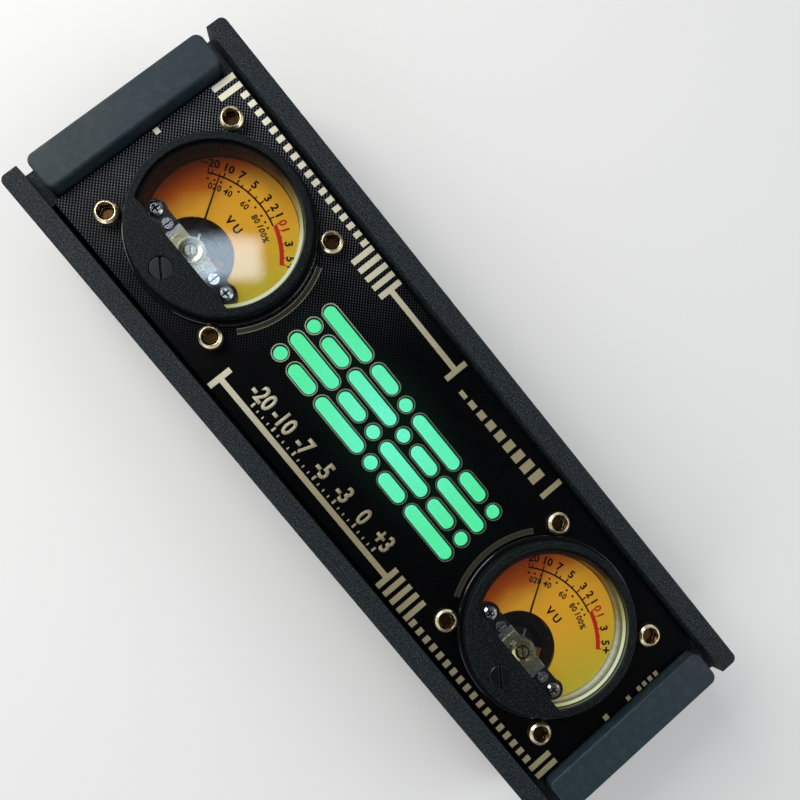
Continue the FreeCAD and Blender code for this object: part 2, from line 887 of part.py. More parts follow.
def make_rubber_feet():
    feet = []
    for x, y in corner_places(half_length - s.foot_inset, half_width - s.foot_side_inset):
        crown = taper(s.foot_radius - s.foot_bevel, s.foot_radius, 0, s.foot_bevel, x, y)
        feet.append(fuse(crown, rod(s.foot_radius, s.foot_bevel, s.foot_height, x, y)))
    finish(group(*feet), "rubber_feet")


# ---- front panel, windows and boards ----

def make_front_panel():
    body = new_body("FrontPanel")
    outline = new_sketch(body, "XY_Plane", panel_back)
    half_x = cavity_half_length - s.panel_end_gap
    half_y = cavity_half_width - s.panel_side_gap
    draw_rectangle(outline, -half_x, half_x, -half_y, half_y)
    pad(body, outline, s.panel_thick)
    soften(body, s.panel_corner, is_upright)
    holes = new_sketch(body, "XY_Plane", panel_top)
    for side in (-1, 1):
        draw_circle(holes, barrel_radius + s.panel_hole_play, side * meter_x, 0)
    for x, y in screw_places():
        draw_circle(holes, screw_clear_radius, x, y)
    pocket(body, holes)
    for y, row in window_rows():
        windows = new_sketch(body, "XY_Plane", panel_top)
        for x, length in row:
            draw_pill(windows, x, y, length, s.window_height)
        cutout = pocket(body, windows)
        repeat_along(body, cutout, windows, "V_Axis", s.window_pitch * 2, 2)
    finish(body, "front_panel")


def make_window_diffuser():
    body = new_body("WindowDiffuser")
    plate = new_sketch(body, "XY_Plane", panel_back - s.diffuser_thick)
    draw_rectangle(plate, -diffuser_half_x, diffuser_half_x, -diffuser_half_y, diffuser_half_y)
    pad(body, plate, s.diffuser_thick)
    for y, row in window_rows():
        pills = new_sketch(body, "XY_Plane", panel_back)
        for x, length in row:
            draw_pill(pills, x, y, length - s.window_play * 2, s.window_height - s.window_play * 2)
        lugs = pad(body, pills, s.panel_thick - s.window_sink)
        repeat_along(body, lugs, pills, "V_Axis", s.window_pitch * 2, 2)
    finish(body, "window_diffuser")


def make_panel_screws():
    head_top = panel_top + s.cap_head_height
    edge = s.cap_head_bevel
    screws = []
    for x, y in screw_places():
        head = rod(s.cap_head_radius, panel_top, head_top - edge, x, y)
        crown = taper(s.cap_head_radius, s.cap_head_radius - edge, head_top - edge, head_top, x, y)
        shank = rod(s.screw_radius, panel_top - s.panel_screw_reach, panel_top, x, y)
        recess = hex_rod(s.hex_flats, head_top - s.hex_depth, head_top + past, x, y)
        dish = taper(s.dish_floor, s.dish_radius, head_top - s.dish_depth, head_top, x, y)
        screws.append(cut(fuse(head, crown, shank), recess, dish))
    finish(group(*screws), "panel_screws")


def make_panel_spacers():
    tubes = []
    for x, y in screw_places():
        tube = rod(s.spacer_radius, clamp_top, panel_back, x, y)
        tubes.append(cut(tube, rod(screw_clear_radius, clamp_top - past, panel_top, x, y)))
    finish(group(*tubes), "panel_spacers")


def make_panel_standoffs():
    standoffs = []
    for x, y in screw_places():
        post = hex_rod(s.standoff_flats, frame_low, clamp_low, x, y)
        thread_end = panel_top - s.panel_screw_reach - s.thread_runout
        top_thread = rod(thread_radius, thread_end, clamp_low + past, x, y)
        low_thread = rod(thread_radius, frame_low - past, frame_low + s.cover_screw_reach, x, y)
        standoffs.append(cut(post, top_thread, low_thread))
    finish(group(*standoffs), "panel_standoffs")


def make_meter_clamps():
    clamps = []
    width = (screw_half + s.clamp_margin) * 2
    for side in (-1, 1):
        centre = side * meter_x
        plate = centred_block(centre, 0, width, width, clamp_low, clamp_top)
        bore = rod(tail_radius + s.panel_hole_play, clamp_low - past, clamp_top + past, centre, 0)
        holes = [
            rod(screw_clear_radius, clamp_low - past, clamp_top + past, centre + x, y)
            for x, y in corner_places(screw_half, screw_half)
        ]
        clamps.append(cut(plate, bore, *holes))
    finish(group(*clamps), "meter_clamps")


def make_led_board():
    low = display_board_top - s.board_thick
    board = centred_block(0, 0, display_board_half_x * 2, display_board_half_y * 2, low, display_board_top)
    finish(board, "led_board")


def make_led_chips():
    # One chip under each dot, two under each medium window and three under each long one.
    chips = []
    spread = s.long_length / 3
    size = s.chip_size
    low, high = display_board_top, display_board_top + s.chip_height
    for y, row in window_rows():
        for x, length in row:
            count = round(number(length) / number(spread))
            for row_y in (y, y + s.window_pitch * 2):
                for i in range(count):
                    chip_x = x + spread * (i - (count - 1) / 2)
                    chips.append(centred_block(chip_x, row_y, size, size, low, high))
    finish(group(*chips), "led_chips")


def make_board_pillars():
    pillars = []
    for x, y in corner_places(display_pillar_x, s.display_pillar_y):
        pillars.append(rod(s.display_pillar_radius, display_board_top, panel_back, x, y))
    for x, y in corner_places(driver_pillar_x, driver_pillar_y):
        pillars.append(hex_rod(s.standoff_flats, frame_low, driver_board_under, x, y))
    finish(group(*pillars), "board_pillars")


def make_driver_board():
    half_x = driver_board_half_x
    near, far = driver_board_near, driver_board_far
    board = block(-half_x, half_x, near, far, driver_board_under, driver_board_top)
    finish(board, "driver_board")


def chip(x, y, x_size, y_size, height):
    return centred_block(x, y, x_size, y_size, driver_board_top, driver_board_top + height)


def make_driver_chips():
    # A coil block and the lamps' header in the middle, and on each side an amplifier, a smoothing
    # capacitor, the plug of the meter's leads and a resistor.
    pieces = [
        chip(s.coil_block_x, s.coil_block_y, s.coil_block_size, s.coil_block_size, s.coil_block_height),
        chip(0, -s.header_drop, s.header_length, s.header_width, s.header_height),
    ]
    can_top = driver_board_top + s.capacitor_height
    for side in (-1, 1):
        amplifier_y = side * s.amplifier_y
        pieces.append(chip(0, amplifier_y, s.amplifier_length, s.amplifier_width, s.amplifier_height))
        can_x = side * s.capacitor_x
        pieces.append(rod(s.capacitor_radius, driver_board_top, can_top, can_x, s.capacitor_y))
        pieces.append(chip(side * s.plug_x, -s.plug_drop, s.header_width, s.plug_length, s.header_height))
        x, y = side * s.resistor_x, -s.resistor_drop
        pieces.append(chip(x, y, s.resistor_length, s.resistor_width, s.resistor_height))
    finish(group(*pieces), "driver_chips")


def pill_along_y(width, height, near, far, x, z):
    # A bar along Y whose section is a level slot with round ends.
    half = (width - height) / 2
    middle = block(x - half, x + half, near, far, z - height / 2, z + height / 2)
    ends = [rod_along_y(height / 2, near, far, x + way * half, z) for way in (-1, 1)]
    return fuse(middle, *ends)


def make_usb_socket():
    far = half_width - s.socket_recess
    near = far - s.usb_length
    inner_width = s.usb_width - s.usb_wall * 2
    inner_height = s.usb_height - s.usb_wall * 2
    back = near + s.usb_wall
    shell = pill_along_y(s.usb_width, s.usb_height, near, far, s.usb_offset, usb_centre)
    hollow = pill_along_y(inner_width, inner_height, back, far + past, s.usb_offset, usb_centre)
    half_x = s.tongue_width / 2
    half_z = s.tongue_thick / 2
    tongue = block(
        s.usb_offset - half_x, s.usb_offset + half_x, back - lap, far - s.tongue_recess,
        usb_centre - half_z, usb_centre + half_z)
    finish(fuse(cut(shell, hollow), tongue), "usb_socket")


def make_audio_socket():
    face = half_width - s.socket_wall - s.jack_play
    back = face - s.jack_length
    half = s.jack_size / 2
    low = driver_board_top
    housing = block(s.jack_offset - half, s.jack_offset + half, back, face, low, low + s.jack_size)
    nose_end = half_width - s.socket_recess
    nose = rod_along_y(s.jack_nose_radius, face - lap, nose_end, s.jack_offset, jack_centre)
    bore_start = back + s.jack_bore_end
    bore = rod_along_y(s.jack_bore_radius, bore_start, half_width + past, s.jack_offset, jack_centre)
    finish(cut(fuse(housing, nose), bore), "audio_socket")


def make_trimmers():
    bodies = []
    y = -s.trimmer_drop
    rotor_low = trimmer_low + s.rotor_play
    rotor_top = rotor_low + s.rotor_thick
    for side, name in ((-1, "left"), (1, "right")):
        x = side * s.trimmer_offset
        shell = centred_block(x, y, s.trimmer_size, s.trimmer_size, trimmer_low, driver_board_under)
        bore = rod(s.rotor_radius + s.fit_play, trimmer_low - past, rotor_top + s.rotor_play, x, y)
        bodies.append(cut(shell, bore))
        rotor = rod(s.rotor_radius, rotor_low, rotor_top, x, y)
        slot_length = s.rotor_radius * 2 + past
        slot_top = rotor_low + s.rotor_slot_depth
        slot = centred_block(x, y, slot_length, s.rotor_slot_width, trimmer_low - past, slot_top)
        finish(cut(rotor, slot), name + "_trimmer_rotor")
    finish(group(*bodies), "trimmer_bodies")


# ---- one meter; x is its centre, and the movement's pivot lies below it ----

def pivot_y():
    return -s.pivot_drop


def direction(angle):
    # The way an angle in degrees from +X points, as its X and Y parts.
    turn = math.radians(angle)
    return round(math.cos(turn), 9), round(math.sin(turn), 9)


def make_case(side, x):
    body = new_body("Case")
    place(body, x)
    profile = new_sketch(body, "XZ_Plane")
    draw_outline(profile, [
        (0, case_bottom), (tail_radius, case_bottom), (tail_radius, clamp_top),
        (barrel_radius, clamp_top), (barrel_radius, panel_top), (flange_radius, panel_top),
        (flange_radius, flange_top), (lens_radius, flange_top), (lens_radius, lens_low),
        (barrel_inner, lens_low), (barrel_inner, ledge_top), (tail_inner, ledge_top),
        (tail_inner, case_inside), (0, case_inside),
    ])
    revolve(body, profile)
    bosses = new_sketch(body, "XY_Plane", case_inside)
    boss_ring = tail_inner - s.boss_inset
    for angle in boss_angles:
        along, across = direction(angle)
        draw_circle(bosses, s.boss_radius, boss_ring * along, boss_ring * across)
    pad(body, bosses, plate_low - case_inside)
    holes = new_sketch(body, "XY_Plane", case_bottom)
    for way in (-1, 1):
        draw_circle(holes, s.terminal_radius + s.thread_play, way * s.terminal_offset, s.terminal_y)
    pocket(body, holes, s.case_floor, upwards=True)
    soften(body, s.flange_edge, lambda edge: is_rim(edge, flange_radius, flange_top))
    collar_gap = new_sketch(body, "XY_Plane", lens_low)
    reach = bezel_radius
    draw_rectangle(collar_gap, -reach, reach, -reach, -lens_chord)
    pocket(body, collar_gap, lens_low - flange_top)
    finish(body, side + "_case")


def make_bezel(side, x):
    body = new_body("Bezel")
    place(body, x)
    disc = new_sketch(body, "XY_Plane", flange_top)
    draw_circle(disc, bezel_radius)
    pad(body, disc, s.bezel_height)
    bowl = new_sketch(body, "XY_Plane", flange_top)
    draw_circle(bowl, bowl_radius)
    pocket(body, bowl, lens_low - flange_top, upwards=True)
    rebate = new_sketch(body, "XY_Plane", lens_low)
    draw_lens_outline(rebate, bowl_radius, lens_chord + s.fit_play)
    pocket(body, rebate, s.lens_thick, upwards=True)
    window = new_sketch(body, "XY_Plane", bezel_top)
    draw_lens_outline(window, window_radius, s.cover_chord)
    pocket(body, window)
    zero_hole = new_sketch(body, "XY_Plane", bezel_top)
    draw_circle(zero_hole, s.zero_radius + s.fit_play, 0, -zero_drop)
    pocket(body, zero_hole)
    soften(body, s.bezel_edge, lambda edge: is_rim(edge, bezel_radius, bezel_top))
    finish(body, side + "_bezel")


def make_lens(side, x):
    body = new_body("Lens")
    place(body, x)
    outline = new_sketch(body, "XY_Plane", lens_low)
    draw_lens_outline(outline, lens_radius, lens_chord)
    pad(body, outline, s.lens_thick)
    finish(body, side + "_lens")


def movement_clearance(radius, low, high, x):
    # What the dial, light guide and lamp board leave open: a circle over the movement, a slot for the
    # bridge and its posts, and everything below the lower cover's edge.
    low, high = low - past, high + past
    y = pivot_y()
    half = post_cut_radius
    tools = [rod(radius, low, high, x, y)]
    for way in (-1, 1):
        tools.append(rod(half, low, high, x + way * post_offset, y))
    tools.append(block(x - post_offset, x + post_offset, y - half, y + half, low, high))
    reach = barrel_radius
    tools.append(block(x - reach, x + reach, -reach, -s.cover_chord, low, high))
    return tools


def make_dial(side, x):
    disc = rod(dial_radius, dial_back, dial_face, x)
    tools = movement_clearance(yoke_radius + s.dial_cut_play, dial_back, dial_face, x)
    finish(cut(disc, *tools), side + "_dial")


def make_light_guide(side, x):
    # The dial sits inside the guide's rim, which carries the light up to the lens. A small tab at the
    # top of the opening lights the pointer's root.
    cup = rod(guide_radius, lamp_board_top, rim_top, x)
    dial_seat = rod(rim_inner, dial_back, rim_top + past, x)
    hollow = rod(rim_inner, lamp_board_top - past, guide_low, x)
    opening = yoke_radius + s.guide_cut_play
    guide = cut(cup, dial_seat, hollow, *movement_clearance(opening, lamp_board_top, rim_top, x))
    tab_y = pivot_y() + opening - s.tab_reach / 2 + lap
    tab = centred_block(x, tab_y, s.tab_width, s.tab_reach + lap * 2, dial_back - s.tab_thick, dial_back)
    finish(fuse(guide, tab), side + "_light_guide")


def make_lamp_board(side, x):
    disc = rod(guide_radius, ledge_top, lamp_board_top, x)
    tools = movement_clearance(yoke_radius + s.guide_cut_play, ledge_top, lamp_board_top, x)
    pieces = [cut(disc, *tools)]
    lamp_ring = guide_radius - s.lamp_inset
    for angle in lamp_angles:
        along, across = direction(angle)
        lamp_x = x + lamp_ring * along
        lamp_y = lamp_ring * across
        top = lamp_board_top + s.lamp_height
        pieces.append(centred_block(lamp_x, lamp_y, s.lamp_size, s.lamp_size, lamp_board_top, top))
    finish(group(*pieces), side + "_lamp_board")


def make_movement_plate(side, x):
    y = pivot_y()
    plate = rod(plate_radius, plate_low, yoke_low, x)
    solids = [plate]
    holes = [rod(s.jewel_radius + s.thread_play, plate_low - past, yoke_low + past, x, y)]
    thread_end = bridge_under - s.cross_screw_reach - s.thread_runout
    for way in (-1, 1):
        post_x = x + way * post_offset
        solids.append(rod(s.post_radius, yoke_low - lap, bridge_under, post_x, y))
        holes.append(rod(s.cross_screw_radius + s.thread_play, thread_end, bridge_under + past, post_x, y))
    width = s.spring_post_width
    lug_y = y - spring_post_ring
    solids.append(centred_block(x, lug_y, width, width, yoke_low - lap, rear_spring_low + s.spring_height))
    finish(cut(fuse(*solids), *holes), side + "_movement_plate")


def make_yoke(side, x):
    y = pivot_y()
    tools = [rod(yoke_bore, yoke_low - past, yoke_top + past, x, y)]
    thread_end = yoke_top - s.stud_reach - s.thread_runout
    for way in (-1, 1):
        stud_x = x + way * stud_offset
        tools.append(rod(s.stud_radius + s.thread_play, thread_end, yoke_top + past, stud_x, y))
    ring = common(rod(yoke_radius, yoke_low, yoke_top, x, y), rod(plate_radius, yoke_low, yoke_top, x))
    finish(cut(ring, *tools), side + "_yoke")


def make_magnet(side, x):
    y = pivot_y()
    core = rod(core_radius, core_low, core_top, x, y)
    bar = centred_block(x, y, s.saddle_width, (yoke_bore + past) * 2, saddle_low, core_low)
    saddle = common(bar, rod(yoke_bore, saddle_low - past, core_low + past, x, y))
    finish(fuse(core, saddle), side + "_magnet")


def make_front_bridge(side, x):
    y = pivot_y()
    solids = [
        centred_block(x, y, post_offset * 2, s.bridge_width, bridge_under, bridge_face),
        centred_block(x, y, s.pad_half * 2, s.bridge_width, bridge_under, pad_top),
    ]
    low, high = bridge_under - past, pad_top + past
    holes = [rod(s.jewel_radius + s.thread_play, low, high, x, y)]
    for way in (-1, 1):
        end_x = x + way * post_offset
        stud_x = x + way * stud_offset
        solids.append(rod(s.bridge_end_radius, bridge_under, bridge_face, end_x, y))
        holes.append(rod(s.cross_screw_radius + s.thread_play, low, high, end_x, y))
        holes.append(rod(s.stud_radius + s.thread_play, low, high, stud_x, y))
    finish(cut(fuse(*solids), *holes), side + "_front_bridge")


def cross_head_screw(x, y):
    head_top = bridge_face + s.cross_head_height
    rim_low = head_top - s.cross_head_rim
    head = rod(s.cross_head_radius, bridge_face, rim_low, x, y)
    crown = taper(s.cross_head_radius, s.cross_head_radius - s.cross_head_slope, rim_low, head_top, x, y)
    shank = rod(s.cross_screw_radius, bridge_under - s.cross_screw_reach, bridge_face + lap, x, y)
    span, width = s.cross_recess_span, s.cross_recess_width
    low, high = head_top - s.cross_recess_depth, head_top + past
    wings = [centred_block(x, y, span, width, low, high), centred_block(x, y, width, span, low, high)]
    return cut(fuse(head, crown, shank), *wings)


def slotted_stud(x, y):
    head_top = bridge_face + s.stud_head_height
    head = rod(s.stud_head_radius, bridge_face, head_top, x, y)
    shank = rod(s.stud_radius, yoke_top - s.stud_reach, bridge_face + lap, x, y)
    slot_length = (s.stud_head_radius + past) * 2
    slot_low = head_top - s.stud_slot_depth
    slot = centred_block(x, y, s.stud_slot_width, slot_length, slot_low, head_top + past)
    return cut(fuse(head, shank), slot)


def make_bridge_screws(side, x):
    y = pivot_y()
    pieces = []
    for way in (-1, 1):
        pieces.append(cross_head_screw(x + way * post_offset, y))
        pieces.append(slotted_stud(x + way * stud_offset, y))
    finish(group(*pieces), side + "_bridge_screws")


def make_jewel_screws(side, x):
    # The front jewel screw with its nut, and the rear one in the movement plate.
    # Each has a cup for its end of the shaft.
    y = pivot_y()
    width = s.jewel_slot_width
    length = (s.jewel_radius + past) * 2
    slot = centred_block(0, 0, length, width, jewel_top - s.jewel_slot_depth, jewel_top + past)
    cup = rod(cup_radius, jewel_low - past, jewel_low + s.cup_depth)
    front = cut(rod(s.jewel_radius, jewel_low, jewel_top), slot, cup)
    place(front, x, y, 0, s.zero_slot_angle)
    rear_low = rear_jewel_top - s.rear_jewel_length
    rear_cup = rod(cup_radius, rear_jewel_top - s.cup_depth, rear_jewel_top + past, x, y)
    rear_slot = centred_block(x, y, width, length, rear_low - past, rear_low + s.jewel_slot_depth)
    rear = cut(rod(s.jewel_radius, rear_low, rear_jewel_top, x, y), rear_cup, rear_slot)
    nut_top = nut_low + s.nut_thick
    nut = rod(s.nut_radius, nut_low, nut_top, x, y)
    nut_bore = rod(s.jewel_radius + s.thread_play, nut_low - past, jewel_top + past, x, y)
    dish_floor = s.jewel_radius + s.nut_dish_gap
    dish = taper(dish_floor, s.nut_radius - s.nut_rim, nut_top - s.nut_dish, nut_top, x, y)
    finish(group(front, cut(nut, nut_bore, dish), rear), side + "_jewel_screws")


def make_zero_arm(side, x):
    # A ring round the jewel screw, a forked tail for the zero screw's pin, and a post for the spring.
    y = pivot_y()
    ring = rod(s.arm_ring_radius, arm_low, arm_top, x, y)
    pin_drop = zero_drop - s.pivot_drop
    slot_half = s.zero_pin_radius + s.fit_play
    tail_end = pin_drop + s.zero_throw + s.zero_pin_radius + s.fork_end
    tail = block(x - s.arm_width / 2, x + s.arm_width / 2, y - tail_end, y, arm_low, arm_top)
    width = s.spring_post_width
    post = centred_block(x, y - spring_post_ring, width, width, front_spring_low, arm_top)
    slot_start = pin_drop - s.zero_throw - slot_half - s.fork_depth
    low, high = arm_low - past, arm_top + past
    tools = [
        rod(s.jewel_radius + s.fit_play, low, high, x, y),
        block(x - slot_half, x + slot_half, y - tail_end - past, y - slot_start, low, high),
    ]
    finish(cut(fuse(ring, tail, post), *tools), side + "_zero_arm")


def make_zero_screw(side, x):
    # The head turns in the lower cover; its pin sits off centre, towards the pivot, in the arm's fork.
    top = bezel_top + s.zero_rise
    under = lens_low - s.fit_play
    turn = math.radians(number(s.zero_slot_angle))
    pin_x = s.zero_throw * math.sin(turn)
    pin_y = s.zero_throw * math.cos(turn)
    head = rod(s.zero_radius, under, top - s.zero_edge)
    crown = taper(s.zero_radius, s.zero_radius - s.zero_edge, top - s.zero_edge, top)
    flange = rod(s.zero_radius + s.zero_flange, under - s.zero_flange_thick, under)
    pin = rod(s.zero_pin_radius, arm_low - s.zero_pin_reach, under, pin_x, pin_y)
    slot_length = (s.zero_radius + past) * 2
    slot = centred_block(0, 0, slot_length, s.zero_slot_width, top - s.zero_slot_depth, top + past)
    screw = cut(fuse(head, crown, flange, pin), slot)
    place(screw, x, -zero_drop, 0, s.zero_slot_angle)
    finish(screw, side + "_zero_screw")


def collet(spring_low):
    # The collar on the shaft that holds a hairspring's inner end.
    low = spring_low - s.collet_margin
    return rod(s.collet_radius, low, spring_low + s.spring_height + s.collet_margin)


def make_moving_coil(side, x):
    # Built with the pointer straight up, then turned with it to the resting angle.
    opening_width = s.coil_width + past
    frame = centred_block(0, 0, s.coil_outer * 2, s.coil_width, coil_low, coil_top)
    inner_low, inner_top = coil_low + s.coil_bar, coil_top - s.coil_bar
    opening = centred_block(0, 0, coil_inner * 2, opening_width, inner_low, inner_top)
    solids = [
        cut(frame, opening),
        rod(s.shaft_radius, coil_top - lap, jewel_low + s.cup_depth - s.fit_play),
        rod(s.shaft_radius, rear_jewel_top - s.cup_depth + s.fit_play, coil_low + lap),
        collet(front_spring_low),
        collet(rear_spring_low),
    ]
    coil = fuse(*solids)
    place(coil, x, pivot_y(), 0, s.rest_angle)
    finish(coil, side + "_moving_coil")


def make_pointer(side, x):
    low = pointer_low
    high = low + s.pointer_thick
    body = new_body("PointerBlade")
    outline = new_sketch(body, "XY_Plane", low)
    root = s.pointer_root / 2
    tip = s.pointer_tip / 2
    draw_outline(outline, [
        (root, -s.tail_length), (root, s.hub_radius), (tip, s.pointer_length),
        (-tip, s.pointer_length), (-root, s.hub_radius), (-root, -s.tail_length),
    ])
    pad(body, outline, s.pointer_thick)
    hub = rod(s.hub_radius, low - s.hub_drop, high + s.weight_rise)
    cross = centred_block(0, 0, s.cross_arm * 2, s.pointer_root, low, high)
    weight_x = s.cross_arm - s.weight_inset
    weight_places = [(-weight_x, 0), (weight_x, 0), (0, s.weight_inset - s.tail_length)]
    size = s.weight_size
    weights = [
        centred_block(at_x, at_y, size, size, low - s.weight_drop, high + s.weight_rise)
        for at_x, at_y in weight_places
    ]
    bore = rod(s.shaft_radius + s.thread_play, low - past, high + past)
    pointer = cut(fuse(body, hub, cross, *weights), bore)
    place(pointer, x, pivot_y(), 0, s.rest_angle)
    finish(pointer, side + "_pointer")


def spiral_edge(start, end, half_turns):
    # A spiral of half circles about two centres in turn. It starts and ends straight below the pivot.
    step = (end - start) / half_turns
    up, across = FreeCAD.Vector(0, 1, 0), FreeCAD.Vector(1, 0, 0)
    arcs = []
    for i in range(half_turns):
        radius = start + step * i
        centre = up * (-step if i % 2 else 0)
        way = 1 if i % 2 else -1
        first, last = centre + up * radius * way, centre - up * radius * way
        arcs.append(Part.Arc(first, centre - across * radius * way, last).toShape())
    return arcs


def make_springs(side, x):
    # Flat spiral strips from the shaft's collets out to their posts.
    thick = number(s.spring_strip)
    half_turns = 2 * int(round(number(s.spring_turns)))
    start = number(s.collet_radius + s.spring_play)
    end = number(spring_post_ring - s.spring_post_width / 2)
    near = spiral_edge(start, end - thick, half_turns)
    far = spiral_edge(start + thick, end, half_turns)
    inner_end = Part.makeLine((0, -start, 0), (0, -start - thick, 0))
    outer_end = Part.makeLine((0, thick - end, 0), (0, -end, 0))
    strip = Part.Face(Part.Wire(Part.sortEdges(near + far + [inner_end, outer_end])[0]))
    for name, low in (("front", front_spring_low), ("rear", rear_spring_low)):
        spring = doc.addObject("Part::Feature", "Hairspring")
        spring.Shape = strip.extrude(FreeCAD.Vector(0, 0, number(s.spring_height)))
        place(spring, x, pivot_y(), low)
        finish(spring, "%s_%s_hairspring" % (side, name))


def make_terminals(side, x):
    y = s.terminal_y
    head_radius, head_top = s.terminal_radius + s.terminal_head, case_inside + s.terminal_head
    studs = []
    for way in (-1, 1):
        stud_x = x + way * s.terminal_offset
        stud = rod(s.terminal_radius, case_bottom - s.terminal_reach, case_inside + lap, stud_x, y)
        head = rod(head_radius, case_inside, head_top, stud_x, y)
        nut = hex_rod(s.terminal_flats, case_bottom - s.terminal_nut_thick, case_bottom, stud_x, y)
        nut_bore = rod(s.terminal_radius + s.thread_play, frame_low, case_bottom + past, stud_x, y)
        studs += [fuse(stud, head), cut(nut, nut_bore)]
    finish(group(*studs), side + "_terminals")


def make_meter(side, x):
    make_case(side, x)
    make_bezel(side, x)
    make_lens(side, x)
    make_dial(side, x)
    make_light_guide(side, x)
    make_lamp_board(side, x)
    make_movement_plate(side, x)
    make_yoke(side, x)
    make_magnet(side, x)
    make_front_bridge(side, x)
    make_bridge_screws(side, x)
    make_jewel_screws(side, x)
    make_zero_arm(side, x)
    make_zero_screw(side, x)
    make_moving_coil(side, x)
    make_pointer(side, x)
    make_springs(side, x)
    make_terminals(side, x)


def check_and_export():
    doc.recompute()
    failed = [item.Label for item in doc.Objects if "Invalid" in item.State or "Error" in item.State]
    if failed:
        raise RuntimeError("these objects failed: %s" % ", ".join(failed))
    for item in finished:
        if item.Shape.isNull() or not item.Shape.isValid():
            raise RuntimeError("%s has no valid shape" % item.Label)
    os.makedirs("parts", exist_ok=True)
    for item in finished:
        item.Shape.exportStep("parts/%s.step" % item.Label)
        print("%-26s solids %3d  volume %10.2f" % (item.Label, len(item.Shape.Solids), item.Shape.Volume))


make_housing_frame()
make_end_caps()
make_bottom_cover()
make_cover_screws()
make_end_cap_screws()
make_rubber_feet()
make_front_panel()
make_window_diffuser()
make_panel_screws()
make_panel_spacers()
make_panel_standoffs()
make_meter_clamps()
make_led_board()
make_led_chips()
make_board_pillars()
make_driver_board()
make_driver_chips()
make_usb_socket()
make_audio_socket()
make_trimmers()
make_meter("left", -meter_x)
make_meter("right", meter_x)
check_and_export()
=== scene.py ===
import json
import math
import bpy
import bmesh
from mathutils import Euler, Matrix, Vector


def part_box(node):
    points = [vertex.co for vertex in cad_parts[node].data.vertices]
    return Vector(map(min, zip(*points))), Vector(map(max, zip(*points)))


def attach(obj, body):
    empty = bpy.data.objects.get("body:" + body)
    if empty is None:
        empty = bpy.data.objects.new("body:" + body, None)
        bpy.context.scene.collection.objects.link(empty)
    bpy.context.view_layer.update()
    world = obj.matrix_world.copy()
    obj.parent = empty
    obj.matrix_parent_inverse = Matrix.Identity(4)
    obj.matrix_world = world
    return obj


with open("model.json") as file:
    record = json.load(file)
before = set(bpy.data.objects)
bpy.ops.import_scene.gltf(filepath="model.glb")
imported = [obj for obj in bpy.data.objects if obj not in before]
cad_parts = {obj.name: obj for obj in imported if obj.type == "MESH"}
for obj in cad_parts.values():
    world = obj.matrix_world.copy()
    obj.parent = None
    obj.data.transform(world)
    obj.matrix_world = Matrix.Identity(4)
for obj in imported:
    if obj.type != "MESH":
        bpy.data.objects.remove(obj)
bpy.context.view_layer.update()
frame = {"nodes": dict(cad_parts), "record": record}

mm = 0.001
nodes = frame["nodes"]
dialLow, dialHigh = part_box("right_dial")
meterX = (dialLow.x + dialHigh.x) / 2
dialFace = dialHigh.z
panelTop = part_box("front_panel")[1].z
sides = {"left": -meterX, "right": meterX}
print("frame loaded with", len(nodes), "nodes")


# small helpers for node trees
def plug(tree, socket, value):
    if isinstance(value, bpy.types.NodeSocket):
        tree.links.new(value, socket)
    else:
        socket.default_value = (*value, 1) if socket.type == "RGBA" else value


def feed(tree, node, inputs):
    for key, value in inputs.items():
        plug(tree, node.inputs[key], value)


def addNode(tree, kind, inputs=None, **settings):
    node = tree.nodes.new(kind)
    for name, value in settings.items():
        setattr(node, name, value)
    feed(tree, node, inputs or {})
    return node


def calc(tree, operation, first, second=0.0, third=0.0, clamp=False):
    inputs = {0: first, 1: second, 2: third}
    return addNode(tree, "ShaderNodeMath", inputs, operation=operation, use_clamp=clamp).outputs[0]


def times(tree, first, *others):
    for other in others:
        first = calc(tree, "MULTIPLY", first, other)
    return first


def size(tree, value):
    return calc(tree, "ABSOLUTE", value)


def remap(tree, value, fromLow, fromHigh, toLow=0.0, toHigh=1.0, smooth=False):
    node = addNode(tree, "ShaderNodeMapRange", {
        "Value": value, "From Min": fromLow, "From Max": fromHigh, "To Min": toLow, "To Max": toHigh})
    if smooth:
        node.interpolation_type = "SMOOTHSTEP"
    return node.outputs["Result"]


def mixColor(tree, factor, first, second, blend="MIX"):
    inputs = {0: factor, 6: first, 7: second}
    return addNode(tree, "ShaderNodeMix", inputs, data_type="RGBA", blend_type=blend).outputs[2]


def colorRamp(tree, factor, stops):
    node = addNode(tree, "ShaderNodeValToRGB", {"Fac": factor})
    ramp = node.color_ramp
    while len(ramp.elements) < len(stops):
        ramp.elements.new(0.5)
    for element, (position, color) in zip(ramp.elements, stops):
        element.position = position
        element.color = (*color, 1)
    return node.outputs["Color"]


def place(tree, x=0.0, y=0.0, turn=0.0, stretch=(1, 1, 1)):
    # object coordinates in millimetres, centred on (x, y)
    coordinates = addNode(tree, "ShaderNodeTexCoord")
    centre = addNode(tree, "ShaderNodeMapping", {
        "Vector": coordinates.outputs["Object"], "Location": (-x, -y, 0), "Scale": (1 / mm, 1 / mm, 1 / mm)})
    turned = addNode(tree, "ShaderNodeMapping", {
        "Vector": centre.outputs["Vector"], "Rotation": (0, 0, math.radians(turn)), "Scale": stretch})
    return turned.outputs["Vector"]


def axesOf(tree, vector):
    return addNode(tree, "ShaderNodeSeparateXYZ", {"Vector": vector}).outputs


def lengthOf(tree, vector):
    return addNode(tree, "ShaderNodeVectorMath", {0: vector}, operation="LENGTH").outputs["Value"]


def dotOf(tree, first, second):
    node = addNode(tree, "ShaderNodeVectorMath", {0: first, 1: second}, operation="DOT_PRODUCT")
    return node.outputs["Value"]


def noise(tree, vector, scale, detail, roughness=0.5, distortion=0.0):
    return addNode(tree, "ShaderNodeTexNoise", {
        "Vector": vector, "Scale": scale, "Detail": detail, "Roughness": roughness,
        "Distortion": distortion}).outputs["Fac"]


